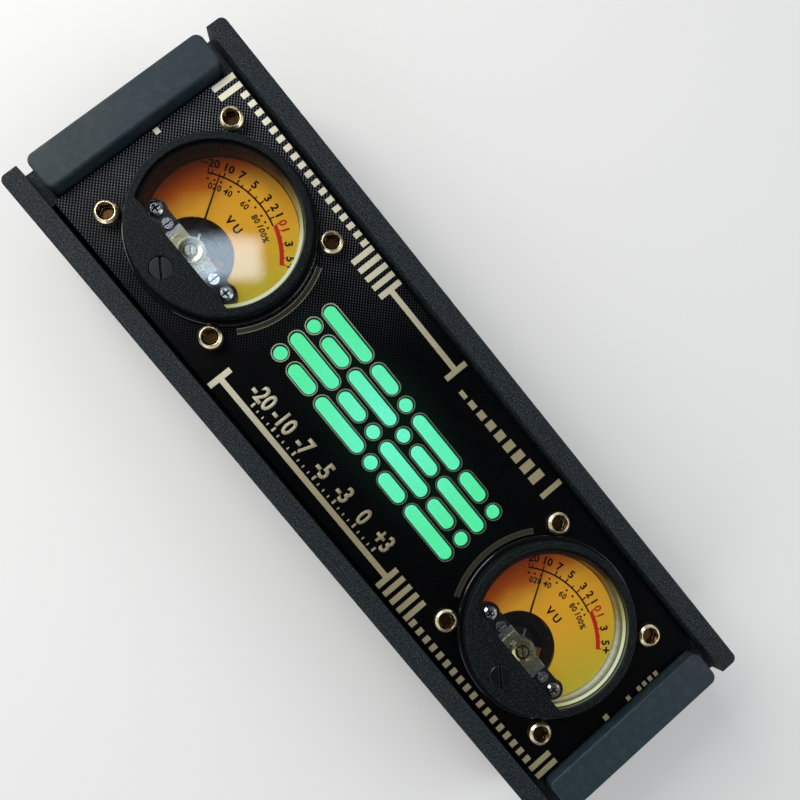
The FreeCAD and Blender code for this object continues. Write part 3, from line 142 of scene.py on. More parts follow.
def bumpFrom(tree, height, depth, normal=None):
    # depth is in millimetres
    inputs = {"Height": height, "Distance": depth * mm, "Strength": 1.0}
    if normal is not None:
        inputs["Normal"] = normal
    return addNode(tree, "ShaderNodeBump", inputs).outputs["Normal"]


def newMaterial(name):
    material = bpy.data.materials.new(name)
    material.use_nodes = True
    tree = material.node_tree
    return material, tree, tree.nodes["Principled BSDF"]


def newGroup(name, takes, gives):
    group = bpy.data.node_groups.new(name, "ShaderNodeTree")
    for label, kind, value in takes:
        socket = group.interface.new_socket(label, in_out="INPUT", socket_type="NodeSocket" + kind)
        if value is not None:
            socket.default_value = value
    for label, kind in gives:
        group.interface.new_socket(label, in_out="OUTPUT", socket_type="NodeSocket" + kind)
    start = group.nodes.new("NodeGroupInput")
    end = group.nodes.new("NodeGroupOutput")
    return group, start.outputs, end.inputs


def useGroup(tree, group, inputs):
    return addNode(tree, "ShaderNodeGroup", inputs, node_tree=group).outputs


# shared effects; a noise is given as its detail, roughness and distortion
effects = {
    "grain": (3.0, 0.6), "speckContrast": 9.0, "patch": (4.0, 0.62, 0.4), "patchSpread": (0.33, 0.67),
    "edgeTurn": (0.98, 0.80), "edgeSamples": 6, "rubScale": 0.8, "rub": (5.0,), "rubSpread": (0.38, 0.62),
    "lines": (4.0, 0.7), "lineSpread": (0.3, 0.7),
}


def makeFineGrain():
    # moulded, sprayed and cast surfaces: a grain with paler specks
    group, given, out = newGroup("fineGrain", [
        ("Vector", "Vector", None), ("Size", "Float", 0.3), ("Base", "Color", (0.02, 0.02, 0.02, 1)),
        ("Speck", "Color", (0.1, 0.1, 0.1, 1)), ("Amount", "Float", 0.4), ("Level", "Float", 0.62)],
        [("Color", "Color"), ("Height", "Float")])
    grain = noise(group, given["Vector"], calc(group, "DIVIDE", 1.0, given["Size"]), *effects["grain"])
    above = calc(group, "SUBTRACT", grain, given["Level"])
    speck = calc(group, "MULTIPLY", above, effects["speckContrast"], clamp=True)
    mask = times(group, speck, given["Amount"])
    plug(group, out["Color"], mixColor(group, mask, given["Base"], given["Speck"]))
    plug(group, out["Height"], grain)
    return group


def makeHandling():
    # broad patches where a surface is a little smoother or duller
    group, given, out = newGroup("handling", [
        ("Vector", "Vector", None), ("Size", "Float", 15.0), ("Low", "Float", 0.4), ("High", "Float", 0.6)],
        [("Value", "Float")])
    patch = noise(group, given["Vector"], calc(group, "DIVIDE", 1.0, given["Size"]), *effects["patch"])
    spread = remap(group, patch, *effects["patchSpread"])
    step = calc(group, "SUBTRACT", given["High"], given["Low"])
    plug(group, out["Value"], calc(group, "MULTIPLY_ADD", spread, step, given["Low"]))
    return group


def makeEdgeWear():
    # rounds the light on an edge and marks where paint or plating is rubbed
    group, given, out = newGroup("edgeWear", [
        ("Vector", "Vector", None), ("Radius", "Float", 0.00015), ("Amount", "Float", 0.5)],
        [("Mask", "Float"), ("Normal", "Vector")])
    bevel = addNode(group, "ShaderNodeBevel", {"Radius": given["Radius"]}, samples=effects["edgeSamples"])
    rounded = bevel.outputs[0]
    flat = addNode(group, "ShaderNodeNewGeometry").outputs["Normal"]
    turned = remap(group, dotOf(group, rounded, flat), *effects["edgeTurn"])
    broken = noise(group, given["Vector"], effects["rubScale"], *effects["rub"])
    rubbed = remap(group, broken, *effects["rubSpread"])
    plug(group, out["Mask"], times(group, turned, rubbed, given["Amount"]))
    plug(group, out["Normal"], rounded)
    return group


def makeBrushed():
    # fine straight lines left by brushing, rolling or turning
    group, given, out = newGroup("brushed", [
        ("Vector", "Vector", None), ("Size", "Float", 0.2)], [("Height", "Float"), ("Shade", "Float")])
    lines = noise(group, given["Vector"], calc(group, "DIVIDE", 1.0, given["Size"]), *effects["lines"])
    plug(group, out["Height"], lines)
    plug(group, out["Shade"], remap(group, lines, *effects["lineSpread"]))
    return group


fineGrain = makeFineGrain()
handling = makeHandling()
edgeWear = makeEdgeWear()
brushed = makeBrushed()


def grainOf(tree, vector, grain, base, speck, amount=0.4, level=0.62):
    return useGroup(tree, fineGrain, {
        "Vector": vector, "Size": grain, "Base": base, "Speck": speck, "Amount": amount, "Level": level})


def patchy(tree, vector, patch, low, high):
    return useGroup(tree, handling, {"Vector": vector, "Size": patch, "Low": low, "High": high})["Value"]


def edgesOf(tree, vector, look):
    # the look's edge is a radius in millimetres
    return useGroup(tree, edgeWear, {"Vector": vector, "Radius": look["edge"] * mm, "Amount": look["wear"]})


def linesOf(tree, vector, width):
    return useGroup(tree, brushed, {"Vector": vector, "Size": width})


plainCoat = {
    "metallic": 0.0, "specular": 0.5, "glow": 0.0, "glowColor": (0, 0, 0), "stretch": (1, 1, 1),
    "amount": 0.4, "level": 0.6, "bump": 0.02, "patch": 14.0, "edge": 0.12, "wear": 0.35,
}


def coated(name, look):
    # paint, plastic, rubber or plating: grain, duller patches and rubbed edges
    look = {**plainCoat, "worn": look["speck"], **look}
    material, tree, shader = newMaterial(name)
    grain = grainOf(tree, place(tree, stretch=look["stretch"]), look["grain"], look["base"], look["speck"],
                    look["amount"], look["level"])
    edges = edgesOf(tree, place(tree), look)
    feed(tree, shader, {
        "Metallic": look["metallic"], "Specular IOR Level": look["specular"],
        "Emission Color": look["glowColor"], "Emission Strength": look["glow"],
        "Base Color": mixColor(tree, edges["Mask"], grain["Color"], look["worn"]),
        "Roughness": patchy(tree, place(tree), look["patch"], *look["rough"]),
        "Normal": bumpFrom(tree, grain["Height"], look["bump"], edges["Normal"])})
    return material


looks = {
    "rail_paint": {
        "base": (0.0062, 0.0092, 0.0112), "speck": (0.062, 0.082, 0.098), "grain": 0.28, "amount": 0.9,
        "level": 0.52, "bump": 0.10, "rough": (0.50, 0.66), "specular": 0.16, "patch": 30, "edge": 0.25,
        "wear": 0.3, "worn": (0.07, 0.08, 0.088)},
    "cap_paint": {
        "base": (0.018, 0.032, 0.040), "speck": (0.029, 0.044, 0.052), "grain": 2.2, "amount": 0.6,
        "level": 0.5, "rough": (0.42, 0.58), "specular": 0.22, "patch": 12, "edge": 0.3, "wear": 0.3,
        "worn": (0.05, 0.06, 0.065)},
    "cover_metal": {
        "base": (0.011, 0.012, 0.014), "speck": (0.028, 0.030, 0.032), "grain": 0.30, "amount": 0.5,
        "bump": 0.03, "rough": (0.42, 0.6), "specular": 0.35, "patch": 35, "edge": 0.25, "wear": 0.5,
        "worn": (0.16, 0.16, 0.165)},
    "screw_dark": {
        "base": (0.045, 0.046, 0.05), "speck": (0.10, 0.10, 0.105), "grain": 0.25, "metallic": 0.9,
        "bump": 0.002, "rough": (0.3, 0.45), "edge": 0.15, "wear": 0.7, "worn": (0.4, 0.4, 0.4)},
    "foot_rubber": {
        "base": (0.014, 0.014, 0.015), "speck": (0.036, 0.036, 0.037), "grain": 0.35, "amount": 0.5,
        "bump": 0.04, "rough": (0.75, 0.9), "specular": 0.3, "edge": 0.3},
    "spacer_brass": {
        "base": (0.66, 0.48, 0.19), "speck": (0.78, 0.6, 0.3), "grain": 0.2, "metallic": 1.0, "bump": 0.002,
        "rough": (0.25, 0.4), "patch": 4.0, "stretch": (1, 1, 6)},
    "clamp_black": {
        "base": (0.012, 0.012, 0.013), "speck": (0.03, 0.03, 0.03), "grain": 0.5, "bump": 0.004,
        "rough": (0.2, 0.32), "edge": 0.1},
    "led_white": {
        "base": (0.72, 0.72, 0.66), "speck": (0.82, 0.8, 0.5), "grain": 0.3, "bump": 0.006,
        "rough": (0.3, 0.45), "edge": 0.1},
    "chip_black": {
        "base": (0.018, 0.018, 0.019), "speck": (0.05, 0.05, 0.05), "grain": 0.15, "bump": 0.012,
        "rough": (0.5, 0.65), "edge": 0.1},
    "socket_metal": {
        "base": (0.56, 0.56, 0.57), "speck": (0.7, 0.7, 0.7), "grain": 0.3, "metallic": 1.0, "bump": 0.002,
        "rough": (0.22, 0.38)},
    "socket_black": {
        "base": (0.016, 0.016, 0.017), "speck": (0.035, 0.035, 0.036), "grain": 0.2, "bump": 0.012,
        "rough": (0.42, 0.55)},
    "trimmer_blue": {
        "base": (0.012, 0.06, 0.36), "speck": (0.02, 0.09, 0.44), "grain": 0.3, "bump": 0.008,
        "rough": (0.3, 0.42)},
    "rotor_white": {
        "base": (0.72, 0.71, 0.66), "speck": (0.8, 0.79, 0.74), "grain": 0.25, "bump": 0.008,
        "rough": (0.4, 0.55), "edge": 0.1},
    "case_black": {
        "base": (0.0018, 0.0022, 0.0026), "speck": (0.006, 0.007, 0.008), "grain": 0.6, "bump": 0.001,
        "rough": (0.05, 0.12), "patch": 8.0, "edge": 0.15, "specular": 0.6},
    "bezel_black": {
        "base": (0.0022, 0.0042, 0.0048), "speck": (0.030, 0.040, 0.044), "grain": 0.34, "amount": 0.7,
        "level": 0.52, "bump": 0.03, "rough": (0.42, 0.55), "specular": 0.10, "patch": 9.0, "edge": 0.2,
        "worn": (0.07, 0.082, 0.09)},
    "movement_cast": {
        "base": (0.010, 0.009, 0.009), "speck": (0.03, 0.027, 0.025), "grain": 0.25, "bump": 0.008,
        "rough": (0.3, 0.45)},
    "yoke_iron": {
        "base": (0.022, 0.014, 0.010), "speck": (0.10, 0.060, 0.040), "grain": 0.35, "metallic": 0.9,
        "bump": 0.003, "rough": (0.2, 0.36), "patch": 4.0, "edge": 0.15, "stretch": (1, 1, 5)},
    "magnet_grey": {
        "base": (0.030, 0.026, 0.026), "speck": (0.09, 0.075, 0.07), "grain": 0.2, "metallic": 0.8,
        "bump": 0.006, "rough": (0.3, 0.45), "edge": 0.15},
    "zero_arm_bright": {
        "base": (0.62, 0.62, 0.55), "speck": (0.74, 0.74, 0.67), "grain": 0.2, "metallic": 1.0,
        "bump": 0.0015, "rough": (0.2, 0.34), "patch": 3.0, "edge": 0.1},
    "zero_screw_black": {
        "base": (0.0024, 0.0032, 0.004), "speck": (0.008, 0.010, 0.012), "grain": 0.22, "bump": 0.006,
        "rough": (0.2, 0.34), "specular": 0.4, "edge": 0.15, "wear": 0.7, "worn": (0.12, 0.13, 0.14)},
    "spring_bronze": {
        "base": (0.62, 0.40, 0.20), "speck": (0.75, 0.55, 0.32), "grain": 0.2, "metallic": 1.0,
        "bump": 0.001, "rough": (0.25, 0.4), "edge": 0.03},
    "terminal_brass": {
        "base": (0.68, 0.52, 0.22), "speck": (0.8, 0.64, 0.34), "grain": 0.2, "metallic": 1.0,
        "bump": 0.002, "rough": (0.22, 0.38)},
}
finishes = {slot: coated(slot, look) for slot, look in looks.items()}
print("coated finishes:", len(finishes))


# finishes with a pattern of their own; a patch is its size and the lowest and highest roughness in it
# the board's threads and its print take a painted sheen towards the left end
panelLook = {
    "base": (0.0005, 0.0006, 0.0009), "thread": (0.34, 0.36, 0.42), "pitch": 0.650, "weaveTurn": 45,
    "crown": {"X": 2.6, "Y": 7.0}, "uneven": (9.0, 0.5, 1.0), "fade": (18.0, 105.0, 0.7), "plain": 0.022,
    "patch": (25.0, 0.36, 0.5), "bump": 0.03, "core": (0.05, 0.045, 0.03), "edge": 0.12, "wear": 0.15,
    "glow": (0.0, 0.0052, 0.0024), "glowHalf": (36, 14), "glowFade": (1.15, 0.55), "specular": 0.05,
    "printFade": (-15.0, 80.0, 0.0), "printPale": 0.9,
}


def sheenTowardsLeft(tree, start, end, lean):
    # painted sheen: the board and its print are paler towards the left end, where the light falls, and with
    # some lean towards the far corner there
    axes = axesOf(tree, place(tree))
    along = calc(tree, "SUBTRACT", times(tree, axes["Y"], lean), axes["X"])
    return remap(tree, along, start, end, smooth=True)


def makePanelBoard():
    # black lacquer over glass cloth, whose threads show as rows of small pale dashes
    look = panelLook
    material, tree, shader = newMaterial("panel_board")
    threads = 1 / look["pitch"]
    axes = axesOf(tree, place(tree, turn=look["weaveTurn"], stretch=(threads, threads, 0)))
    crown = times(tree, *[
        calc(tree, "POWER", size(tree, calc(tree, "SINE", times(tree, axes[axis], math.pi))), power)
        for axis, power in look["crown"].items()])
    # painted sheen: the threads show brighter towards the left end
    pale = sheenTowardsLeft(tree, *look["fade"])
    sheenLevel = remap(tree, pale, 0.0, 1.0, look["plain"], 1.0)
    shown = times(tree, patchy(tree, place(tree), *look["uneven"]), sheenLevel)
    shade = mixColor(tree, times(tree, crown, shown), look["base"], look["thread"])
    edges = edgesOf(tree, place(tree), look)
    # the board lets a little green light through round the windows
    wide, high = look["glowHalf"]
    spot = lengthOf(tree, place(tree, stretch=(1 / wide, 1 / high, 0)))
    through = remap(tree, spot, *look["glowFade"], smooth=True)
    feed(tree, shader, {
        "Specular IOR Level": look["specular"],
        "Base Color": mixColor(tree, edges["Mask"], shade, look["core"]),
        "Roughness": patchy(tree, place(tree), *look["patch"]),
        "Normal": bumpFrom(tree, crown, look["bump"], edges["Normal"]),
        "Emission Color": mixColor(tree, through, (0, 0, 0), look["glow"]), "Emission Strength": 1.0})
    return material


windowLook = {
    "middle": (0.135, 0.83, 0.585), "ends": (0.074, 0.73, 0.315), "rim": (0.20, 0.96, 0.64),
    "body": (0.02, 0.12, 0.06), "flank": (0.008, 0.07, 0.032), "glow": 1.0, "rough": 0.4, "specular": 0.3,
    "cloud": (0.10, 2.0), "cloudPull": 10.0, "squeeze": 1.6, "tintReach": (4.0, 27.0),
    "milk": (1.7, 5.0, 0.62), "mottle": (0.36, 0.64, 0.0, 0.30), "bodySpread": (0.4, 0.6), "bump": 0.01,
    "edge": 0.4, "wear": 0.9,
}


def makeDiffuser():
    # milky windows, bluer in the middle of the display and greener towards its ends
    look = windowLook
    material, tree, shader = newMaterial("diffuser_green")
    cloud = noise(tree, place(tree), *look["cloud"])
    away = lengthOf(tree, place(tree, stretch=(1, look["squeeze"], 0)))
    away = calc(tree, "SUBTRACT", away, look["cloudPull"] / 2)
    spread = calc(tree, "MULTIPLY_ADD", cloud, look["cloudPull"], away)
    outward = remap(tree, spread, *look["tintReach"])
    tint = colorRamp(tree, outward, [(0.0, look["middle"]), (1.0, look["ends"])])
    milk = noise(tree, place(tree), *look["milk"])
    mottled = mixColor(tree, remap(tree, milk, *look["mottle"]), tint, look["ends"])
    edges = edgesOf(tree, place(tree), look)
    feed(tree, shader, {
        "Roughness": look["rough"], "Specular IOR Level": look["specular"],
        "Emission Color": mixColor(tree, edges["Mask"], mottled, look["rim"]),
        "Emission Strength": look["glow"],
        "Base Color": mixColor(tree, remap(tree, milk, *look["bodySpread"]), look["body"], look["flank"]),
        "Normal": bumpFrom(tree, milk, look["bump"], edges["Normal"])})
    return material


# the lamps behind a dial colour it from orange on the left to yellow green on the right
dialLook = {
    "low": -18.0, "high": 18.0, "lean": -0.22, "uneven": (0.16, 2.0), "unevenPull": 3.0, "glow": 0.66,
    "paper": (5.0, 6.0, 0.7), "fibre": (0.30, 0.14, 0.03), "fibreSpread": (0.35, 0.65, 0.0, 0.12),
    # the rim values set a painted shadow of the bezel on the orange side
    "rimMiddle": -1.5, "rimReach": (13.0, 19.5), "rimShade": {"left": 0.55, "right": 0.12},
    "rimSide": (6.0, -8.0), "bump": 0.01, "rough": 0.5, "specular": 0.04,
    "tints": [(0.00, (0.105, 0.012, 0.0003)), (0.07, (0.180, 0.026, 0.0005)), (0.12, (0.250, 0.040, 0.0008)),
              (0.17, (0.33, 0.090, 0.004)), (0.22, (0.42, 0.170, 0.012)), (0.30, (0.56, 0.270, 0.018)),
              (0.44, (0.62, 0.300, 0.018)), (0.62, (0.58, 0.310, 0.020)), (0.78, (0.50, 0.320, 0.020)),
              (1.00, (0.39, 0.340, 0.027))],
}


def makeDial(side, x):
    look = dialLook
    material, tree, shader = newMaterial(side + "DialPrint")
    vector = place(tree, x)
    axes = axesOf(tree, vector)
    along = calc(tree, "MULTIPLY_ADD", axes["Y"], look["lean"], axes["X"])
    along = calc(tree, "SUBTRACT", along, look["unevenPull"] / 2)
    along = calc(tree, "MULTIPLY_ADD", noise(tree, vector, *look["uneven"]), look["unevenPull"], along)
    tint = colorRamp(tree, remap(tree, along, look["low"], look["high"]), look["tints"])
    paper = noise(tree, vector, *look["paper"])
    fibre = mixColor(tree, remap(tree, paper, *look["fibreSpread"]), tint, look["fibre"])
    # painted shadow of the bezel: the dial is darker near its rim on the orange side
    reach = lengthOf(tree, place(tree, x, look["rimMiddle"], stretch=(1, 1, 0)))
    rim = remap(tree, reach, *look["rimReach"], 0.0, look["rimShade"][side], smooth=True)
    rim = times(tree, rim, remap(tree, along, *look["rimSide"]))
    lit = mixColor(tree, rim, fibre, (0, 0, 0))
    feed(tree, shader, {
        "Roughness": look["rough"], "Specular IOR Level": look["specular"], "Base Color": lit,
        "Emission Color": lit, "Emission Strength": look["glow"],
        "Normal": bumpFrom(tree, paper, look["bump"])})
    return material


lensLook = {"tint": (0.985, 0.99, 0.985), "ior": 1.47, "patch": (9.0, 0.01, 0.03), "wave": (0.10, 2.0),
            "bump": 0.012}


def makeLens():
    look = lensLook
    material, tree, shader = newMaterial("lens_clear")
    feed(tree, shader, {
        "Base Color": look["tint"], "Transmission Weight": 1.0, "IOR": look["ior"],
        "Roughness": patchy(tree, place(tree), *look["patch"]),
        "Normal": bumpFrom(tree, noise(tree, place(tree), *look["wave"]), look["bump"])})
    return material


# the clear cup round a dial carries the same light, and its top is the brightest
guideLook = {
    "tints": [(0.00, (0.010, 0.0034, 0.0004)), (0.28, (0.018, 0.006, 0.0007)), (0.60, (0.060, 0.028, 0.004)),
              (0.83, (0.24, 0.215, 0.095)), (0.93, (0.44, 0.45, 0.31)), (1.00, (0.58, 0.62, 0.49))],
    "wall": [(0.00, (0.75, 0.62, 0.30)), (0.10, (0.50, 0.42, 0.20)), (0.20, (0.95, 0.93, 0.85)),
             (0.42, (1.00, 1.00, 1.00)), (0.66, (0.52, 0.55, 0.50)), (0.88, (0.30, 0.32, 0.24)),
             (1.00, (0.34, 0.36, 0.26))],
    "edges": [(0.20, (0.006, 0.002, 0.0002)), (0.58, (0.024, 0.013, 0.005)), (0.72, (0.12, 0.10, 0.04)),
              (0.84, (0.34, 0.33, 0.14)), (0.94, (0.64, 0.67, 0.42)), (1.00, (0.68, 0.74, 0.52))],
    "body": (0.005, 0.0045, 0.003), "haze": (0.014, 0.013, 0.009), "hazeSize": 1.4, "hazeAmount": 0.5,
    "wallTop": 32.5, "glow": 0.95, "half": 18.4, "lean": 0.2, "streakLength": 0.04, "streakWidth": 0.7,
    "streakShade": 0.30, "patch": (6.0, 0.06, 0.12), "bump": 0.002, "ior": 1.49, "specular": 0.08,
    "ledge": (18.9, 19.5, 32.8), "ledgeGlow": 0.14,
}


def acrossDial(tree, x):
    # how far a place lies towards the bright side of its meter, from 0 to 1, and its height in millimetres
    axes = axesOf(tree, place(tree, x))
    along = calc(tree, "MULTIPLY_ADD", axes["Y"], guideLook["lean"], axes["X"])
    return remap(tree, along, -guideLook["half"], guideLook["half"]), axes["Z"]


def makeLightGuide(side, x):
    look = guideLook
    material, tree, shader = newMaterial(side + "LightGuide")
    along, height = acrossDial(tree, x)
    level = colorRamp(tree, remap(tree, height, dialFace / mm, look["wallTop"]), look["wall"])
    wall = mixColor(tree, 1.0, colorRamp(tree, along, look["tints"]), level, "MULTIPLY")
    # light catches the turned wall in faint streaks
    streaks = linesOf(tree, place(tree, x, stretch=(1, 1, look["streakLength"])), look["streakWidth"])
    streaked = mixColor(tree, times(tree, streaks["Shade"], look["streakShade"]), wall, (0, 0, 0))
    top = calc(tree, "GREATER_THAN", height, look["wallTop"])
    milk = grainOf(tree, place(tree), look["hazeSize"], look["body"], look["haze"], look["hazeAmount"])
    feed(tree, shader, {
        "IOR": look["ior"], "Specular IOR Level": look["specular"], "Base Color": milk["Color"],
        "Roughness": patchy(tree, place(tree), *look["patch"]),
        "Emission Color": mixColor(tree, top, streaked, colorRamp(tree, along, look["edges"])),
        "Emission Strength": look["glow"], "Normal": bumpFrom(tree, milk["Height"], look["bump"])})
    return material


def makeCase(side, x):
    # glossy black, and its ledge under the lens catches the light of the cup
    material = coated(side + "CaseBlack", looks["case_black"])
    tree = material.node_tree
    along, height = acrossDial(tree, x)
    reach = lengthOf(tree, place(tree, x, stretch=(1, 1, 0)))
    inner, outer, floor = guideLook["ledge"]
    ledge = times(tree, calc(tree, "LESS_THAN", reach, outer), calc(tree, "GREATER_THAN", height, floor),
                  calc(tree, "GREATER_THAN", reach, inner))
    feed(tree, tree.nodes["Principled BSDF"], {
        "Emission Color": mixColor(tree, ledge, (0, 0, 0), colorRamp(tree, along, guideLook["edges"])),
        "Emission Strength": guideLook["ledgeGlow"]})
    return material


def plated(name, look, pockets, x=0.0, y=0.0, fold=False):
    # turned bright metal with painted shade in round hollows at (out, up), below their ceilings
    material, tree, shader = newMaterial(name)
    vector = place(tree, x, y)
    axes = axesOf(tree, vector)
    across, along = size(tree, axes["X"]), size(tree, axes["Y"])
    if fold:    # both meters' screws at once
        across = size(tree, calc(tree, "SUBTRACT", across, meterX / mm))
    mask, nearest = 0.0, 100.0
    for out, up, radius, ceiling in pockets:
        corner = addNode(tree, "ShaderNodeCombineXYZ", {
            "X": calc(tree, "SUBTRACT", across, out), "Y": calc(tree, "SUBTRACT", along, up)})
        reach = lengthOf(tree, corner.outputs[0])
        below = calc(tree, "LESS_THAN", axes["Z"], ceiling)
        mask = calc(tree, "MAXIMUM", mask, times(tree, calc(tree, "LESS_THAN", reach, radius), below))
        nearest = calc(tree, "MINIMUM", nearest, reach)
    turned = addNode(tree, "ShaderNodeCombineXYZ", {"X": nearest, "Z": axes["Z"]}).outputs[0]
    lines = linesOf(tree, turned, look["grain"])
    shade = mixColor(tree, lines["Shade"], look["base"], look["speck"])
    # painted shade darkens the hollows of the screw heads and the jewel nut
    shade = mixColor(tree, mask, shade, look["patina"])
    edges = edgesOf(tree, vector, look)
    feed(tree, shader, {
        "Metallic": 1.0, "Base Color": mixColor(tree, edges["Mask"], shade, look["worn"]),
        "Roughness": patchy(tree, vector, look["patch"], *look["rough"]),
        "Normal": bumpFrom(tree, lines["Height"], look["bump"], edges["Normal"])})
    return material


# each hollow colour below is painted shade in the hollows of a head
panelScrewLook = {
    "base": (0.86, 0.73, 0.46), "speck": (0.94, 0.84, 0.60), "patina": (0.11, 0.055, 0.017), "grain": 0.4,
    "bump": 0.0008, "rough": (0.20, 0.34), "patch": 2.5, "edge": 0.2, "wear": 0.6, "worn": (1.0, 0.93, 0.74),
    "headRadius": 2.75, "dish": 2.02, "rimWidth": 0.03,
}
bridgeScrewLook = {
    "base": (0.50, 0.51, 0.53), "speck": (0.64, 0.65, 0.67), "patina": (0.02, 0.02, 0.022), "grain": 0.3,
    "bump": 0.0012, "rough": (0.10, 0.22), "patch": 2.5, "edge": 0.08, "wear": 0.2,
    "worn": (0.95, 0.95, 0.95), "cross": (12.3, 0, 1.12), "crossTop": 1.35, "slot": (8.08, 0, 1.4),
    "slotTop": 1.05,
}
jewelLook = {
    "base": (0.48, 0.44, 0.20), "speck": (0.62, 0.59, 0.34), "patina": (0.05, 0.038, 0.012), "grain": 0.25,
    "bump": 0.0015, "rough": (0.20, 0.32), "patch": 2.5, "edge": 0.1, "wear": 0.4, "worn": (0.84, 0.82, 0.60),
    "dish": 1.78, "dishTop": 1.63,
}
bridgeLook = {
    "steel": (0.40, 0.41, 0.42), "bright": (0.52, 0.53, 0.54), "pad": (0.50, 0.48, 0.29),
    "padStart": (-0.14, -0.10), "lug": (0.006, 0.006, 0.007), "lugStart": 6.75, "lineLength": 0.10,
    "lineWidth": 0.2, "patch": (3.0, 0.22, 0.38), "bump": 0.0008, "edge": 0.12, "wear": 0.3,
}


def makeBridge(side, x, y):
    # brushed steel with a pale gold pad in the middle and black lugs at its ends
    look = bridgeLook
    material, tree, shader = newMaterial(side + "Bridge")
    lines = linesOf(tree, place(tree, x, y, stretch=(look["lineLength"], 1, 1)), look["lineWidth"])
    steel = mixColor(tree, lines["Shade"], look["steel"], look["bright"])
    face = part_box("left_front_bridge")[1].z / mm
    axes = axesOf(tree, place(tree, x, y))
    pad = remap(tree, axes["Z"], *[face + step for step in look["padStart"]])
    lug = calc(tree, "GREATER_THAN", size(tree, axes["X"]), look["lugStart"])
    edges = edgesOf(tree, place(tree), look)
    feed(tree, shader, {
        "Base Color": mixColor(tree, lug, mixColor(tree, pad, steel, look["pad"]), look["lug"]),
        "Metallic": calc(tree, "SUBTRACT", 1.0, lug), "Roughness": patchy(tree, place(tree), *look["patch"]),
        "Normal": bumpFrom(tree, lines["Height"], look["bump"], edges["Normal"])})
    return material


pointerLook = {"blade": (0.008, 0.0025, 0.002), "speck": (0.016, 0.005, 0.004), "grain": 0.2,
               "root": (0.70, 0.68, 0.66), "paint": (5.1, 5.4), "patch": (3.0, 0.25, 0.4), "specular": 0.12}


def makePointer(side, x, y):
    # the blade is dark paint, and bare metal near the pivot
    look = pointerLook
    material, tree, shader = newMaterial(side + "Pointer")
    painted = remap(tree, lengthOf(tree, place(tree, x, y, stretch=(1, 1, 0))), *look["paint"])
    grain = grainOf(tree, place(tree), look["grain"], look["blade"], look["speck"])
    feed(tree, shader, {
        "Specular IOR Level": look["specular"],
        "Base Color": mixColor(tree, painted, look["root"], grain["Color"]),
        "Metallic": calc(tree, "SUBTRACT", 1.0, painted),
        "Roughness": patchy(tree, place(tree), *look["patch"])})
    return material


boardLook = {"mask": (0.010, 0.065, 0.030), "track": (0.022, 0.12, 0.055), "pad": (0.62, 0.60, 0.52),
             "trackGap": 0.18, "trackLength": 5.0, "trackPitch": 1.3, "holes": 0.28, "holeEdge": (0.10, 0.08),
             "patch": (8.0, 0.25, 0.4), "bump": 0.03}


def makeCircuitBoard():
    look = boardLook
    material, tree, shader = newMaterial("circuit_board")
    rows = addNode(tree, "ShaderNodeTexBrick", {
        "Vector": place(tree), "Scale": 1.0, "Mortar Size": look["trackGap"],
        "Brick Width": look["trackLength"], "Row Height": look["trackPitch"]}).outputs["Fac"]
    dots = addNode(tree, "ShaderNodeTexVoronoi", {
        "Vector": place(tree), "Scale": look["holes"], "Randomness": 0.8})
    holes = remap(tree, dots.outputs["Distance"], *look["holeEdge"])
    tracks = mixColor(tree, rows, look["mask"], look["track"])
    feed(tree, shader, {
        "Base Color": mixColor(tree, holes, tracks, look["pad"]),
        "Roughness": patchy(tree, place(tree), *look["patch"]), "Normal": bumpFrom(tree, rows, look["bump"])})
    return material


coilLook = {"gap": (0.20, 0.06, 0.025), "wire": (0.62, 0.26, 0.12), "wires": 1.6, "wander": 0.3,
            "patch": (3.0, 0.3, 0.45), "bump": 0.05}


def makeCoil():
    look = coilLook
    material, tree, shader = newMaterial("coil_copper")
    wires = addNode(tree, "ShaderNodeTexWave", {
        "Vector": place(tree), "Scale": look["wires"], "Distortion": look["wander"], "Detail": 1.0},
        bands_direction="Y").outputs["Fac"]
    feed(tree, shader, {
        "Metallic": 1.0, "Base Color": mixColor(tree, wires, look["gap"], look["wire"]),
        "Roughness": patchy(tree, place(tree), *look["patch"]),
        "Normal": bumpFrom(tree, wires, look["bump"])})
    return material


finishes["panel_board"] = makePanelBoard()
finishes["diffuser_green"] = makeDiffuser()
finishes["lens_clear"] = makeLens()
finishes["circuit_board"] = makeCircuitBoard()
finishes["coil_copper"] = makeCoil()
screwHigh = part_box("panel_screws")[1] / mm
screwHalf = screwHigh.y - panelScrewLook["headRadius"]
finishes["screw_gold"] = plated("screw_gold", panelScrewLook, [
    (screwHalf, screwHalf, panelScrewLook["dish"], screwHigh.z - panelScrewLook["rimWidth"])], fold=True)
for side, x in sides.items():
    jewelLow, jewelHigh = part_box(side + "_jewel_screws")
    pivotY = (jewelLow.y + jewelHigh.y) / 2 / mm
    across = x / mm
    panelFace = panelTop / mm
    finishes[side + "dial_print"] = makeDial(side, across)
    finishes[side + "light_guide_clear"] = makeLightGuide(side, across)
    finishes[side + "case_black"] = makeCase(side, across)
    finishes[side + "bridge_bright"] = makeBridge(side, across, pivotY)
    finishes[side + "pointer_dark"] = makePointer(side, across, pivotY)
    finishes[side + "screw_bright"] = plated(side + "BridgeScrews", bridgeScrewLook, [
        (*bridgeScrewLook["cross"], panelFace + bridgeScrewLook["crossTop"]),
        (*bridgeScrewLook["slot"], panelFace + bridgeScrewLook["slotTop"])], across, pivotY)
    finishes[side + "jewel_brass"] = plated(side + "JewelBrass", jewelLook, [
        (0, 0, jewelLook["dish"], panelFace + jewelLook["dishTop"])], across, pivotY)

for row in frame["record"]["subparts"]:
    name, slot = row["node"], row["material_slot"]
    finish = finishes.get(name.split("_")[0] + slot) or finishes[slot]
    mesh = nodes[name].data
    if not mesh.materials:
        mesh.materials.append(finish)
    for number in range(len(mesh.materials)):
        mesh.materials[number] = finish


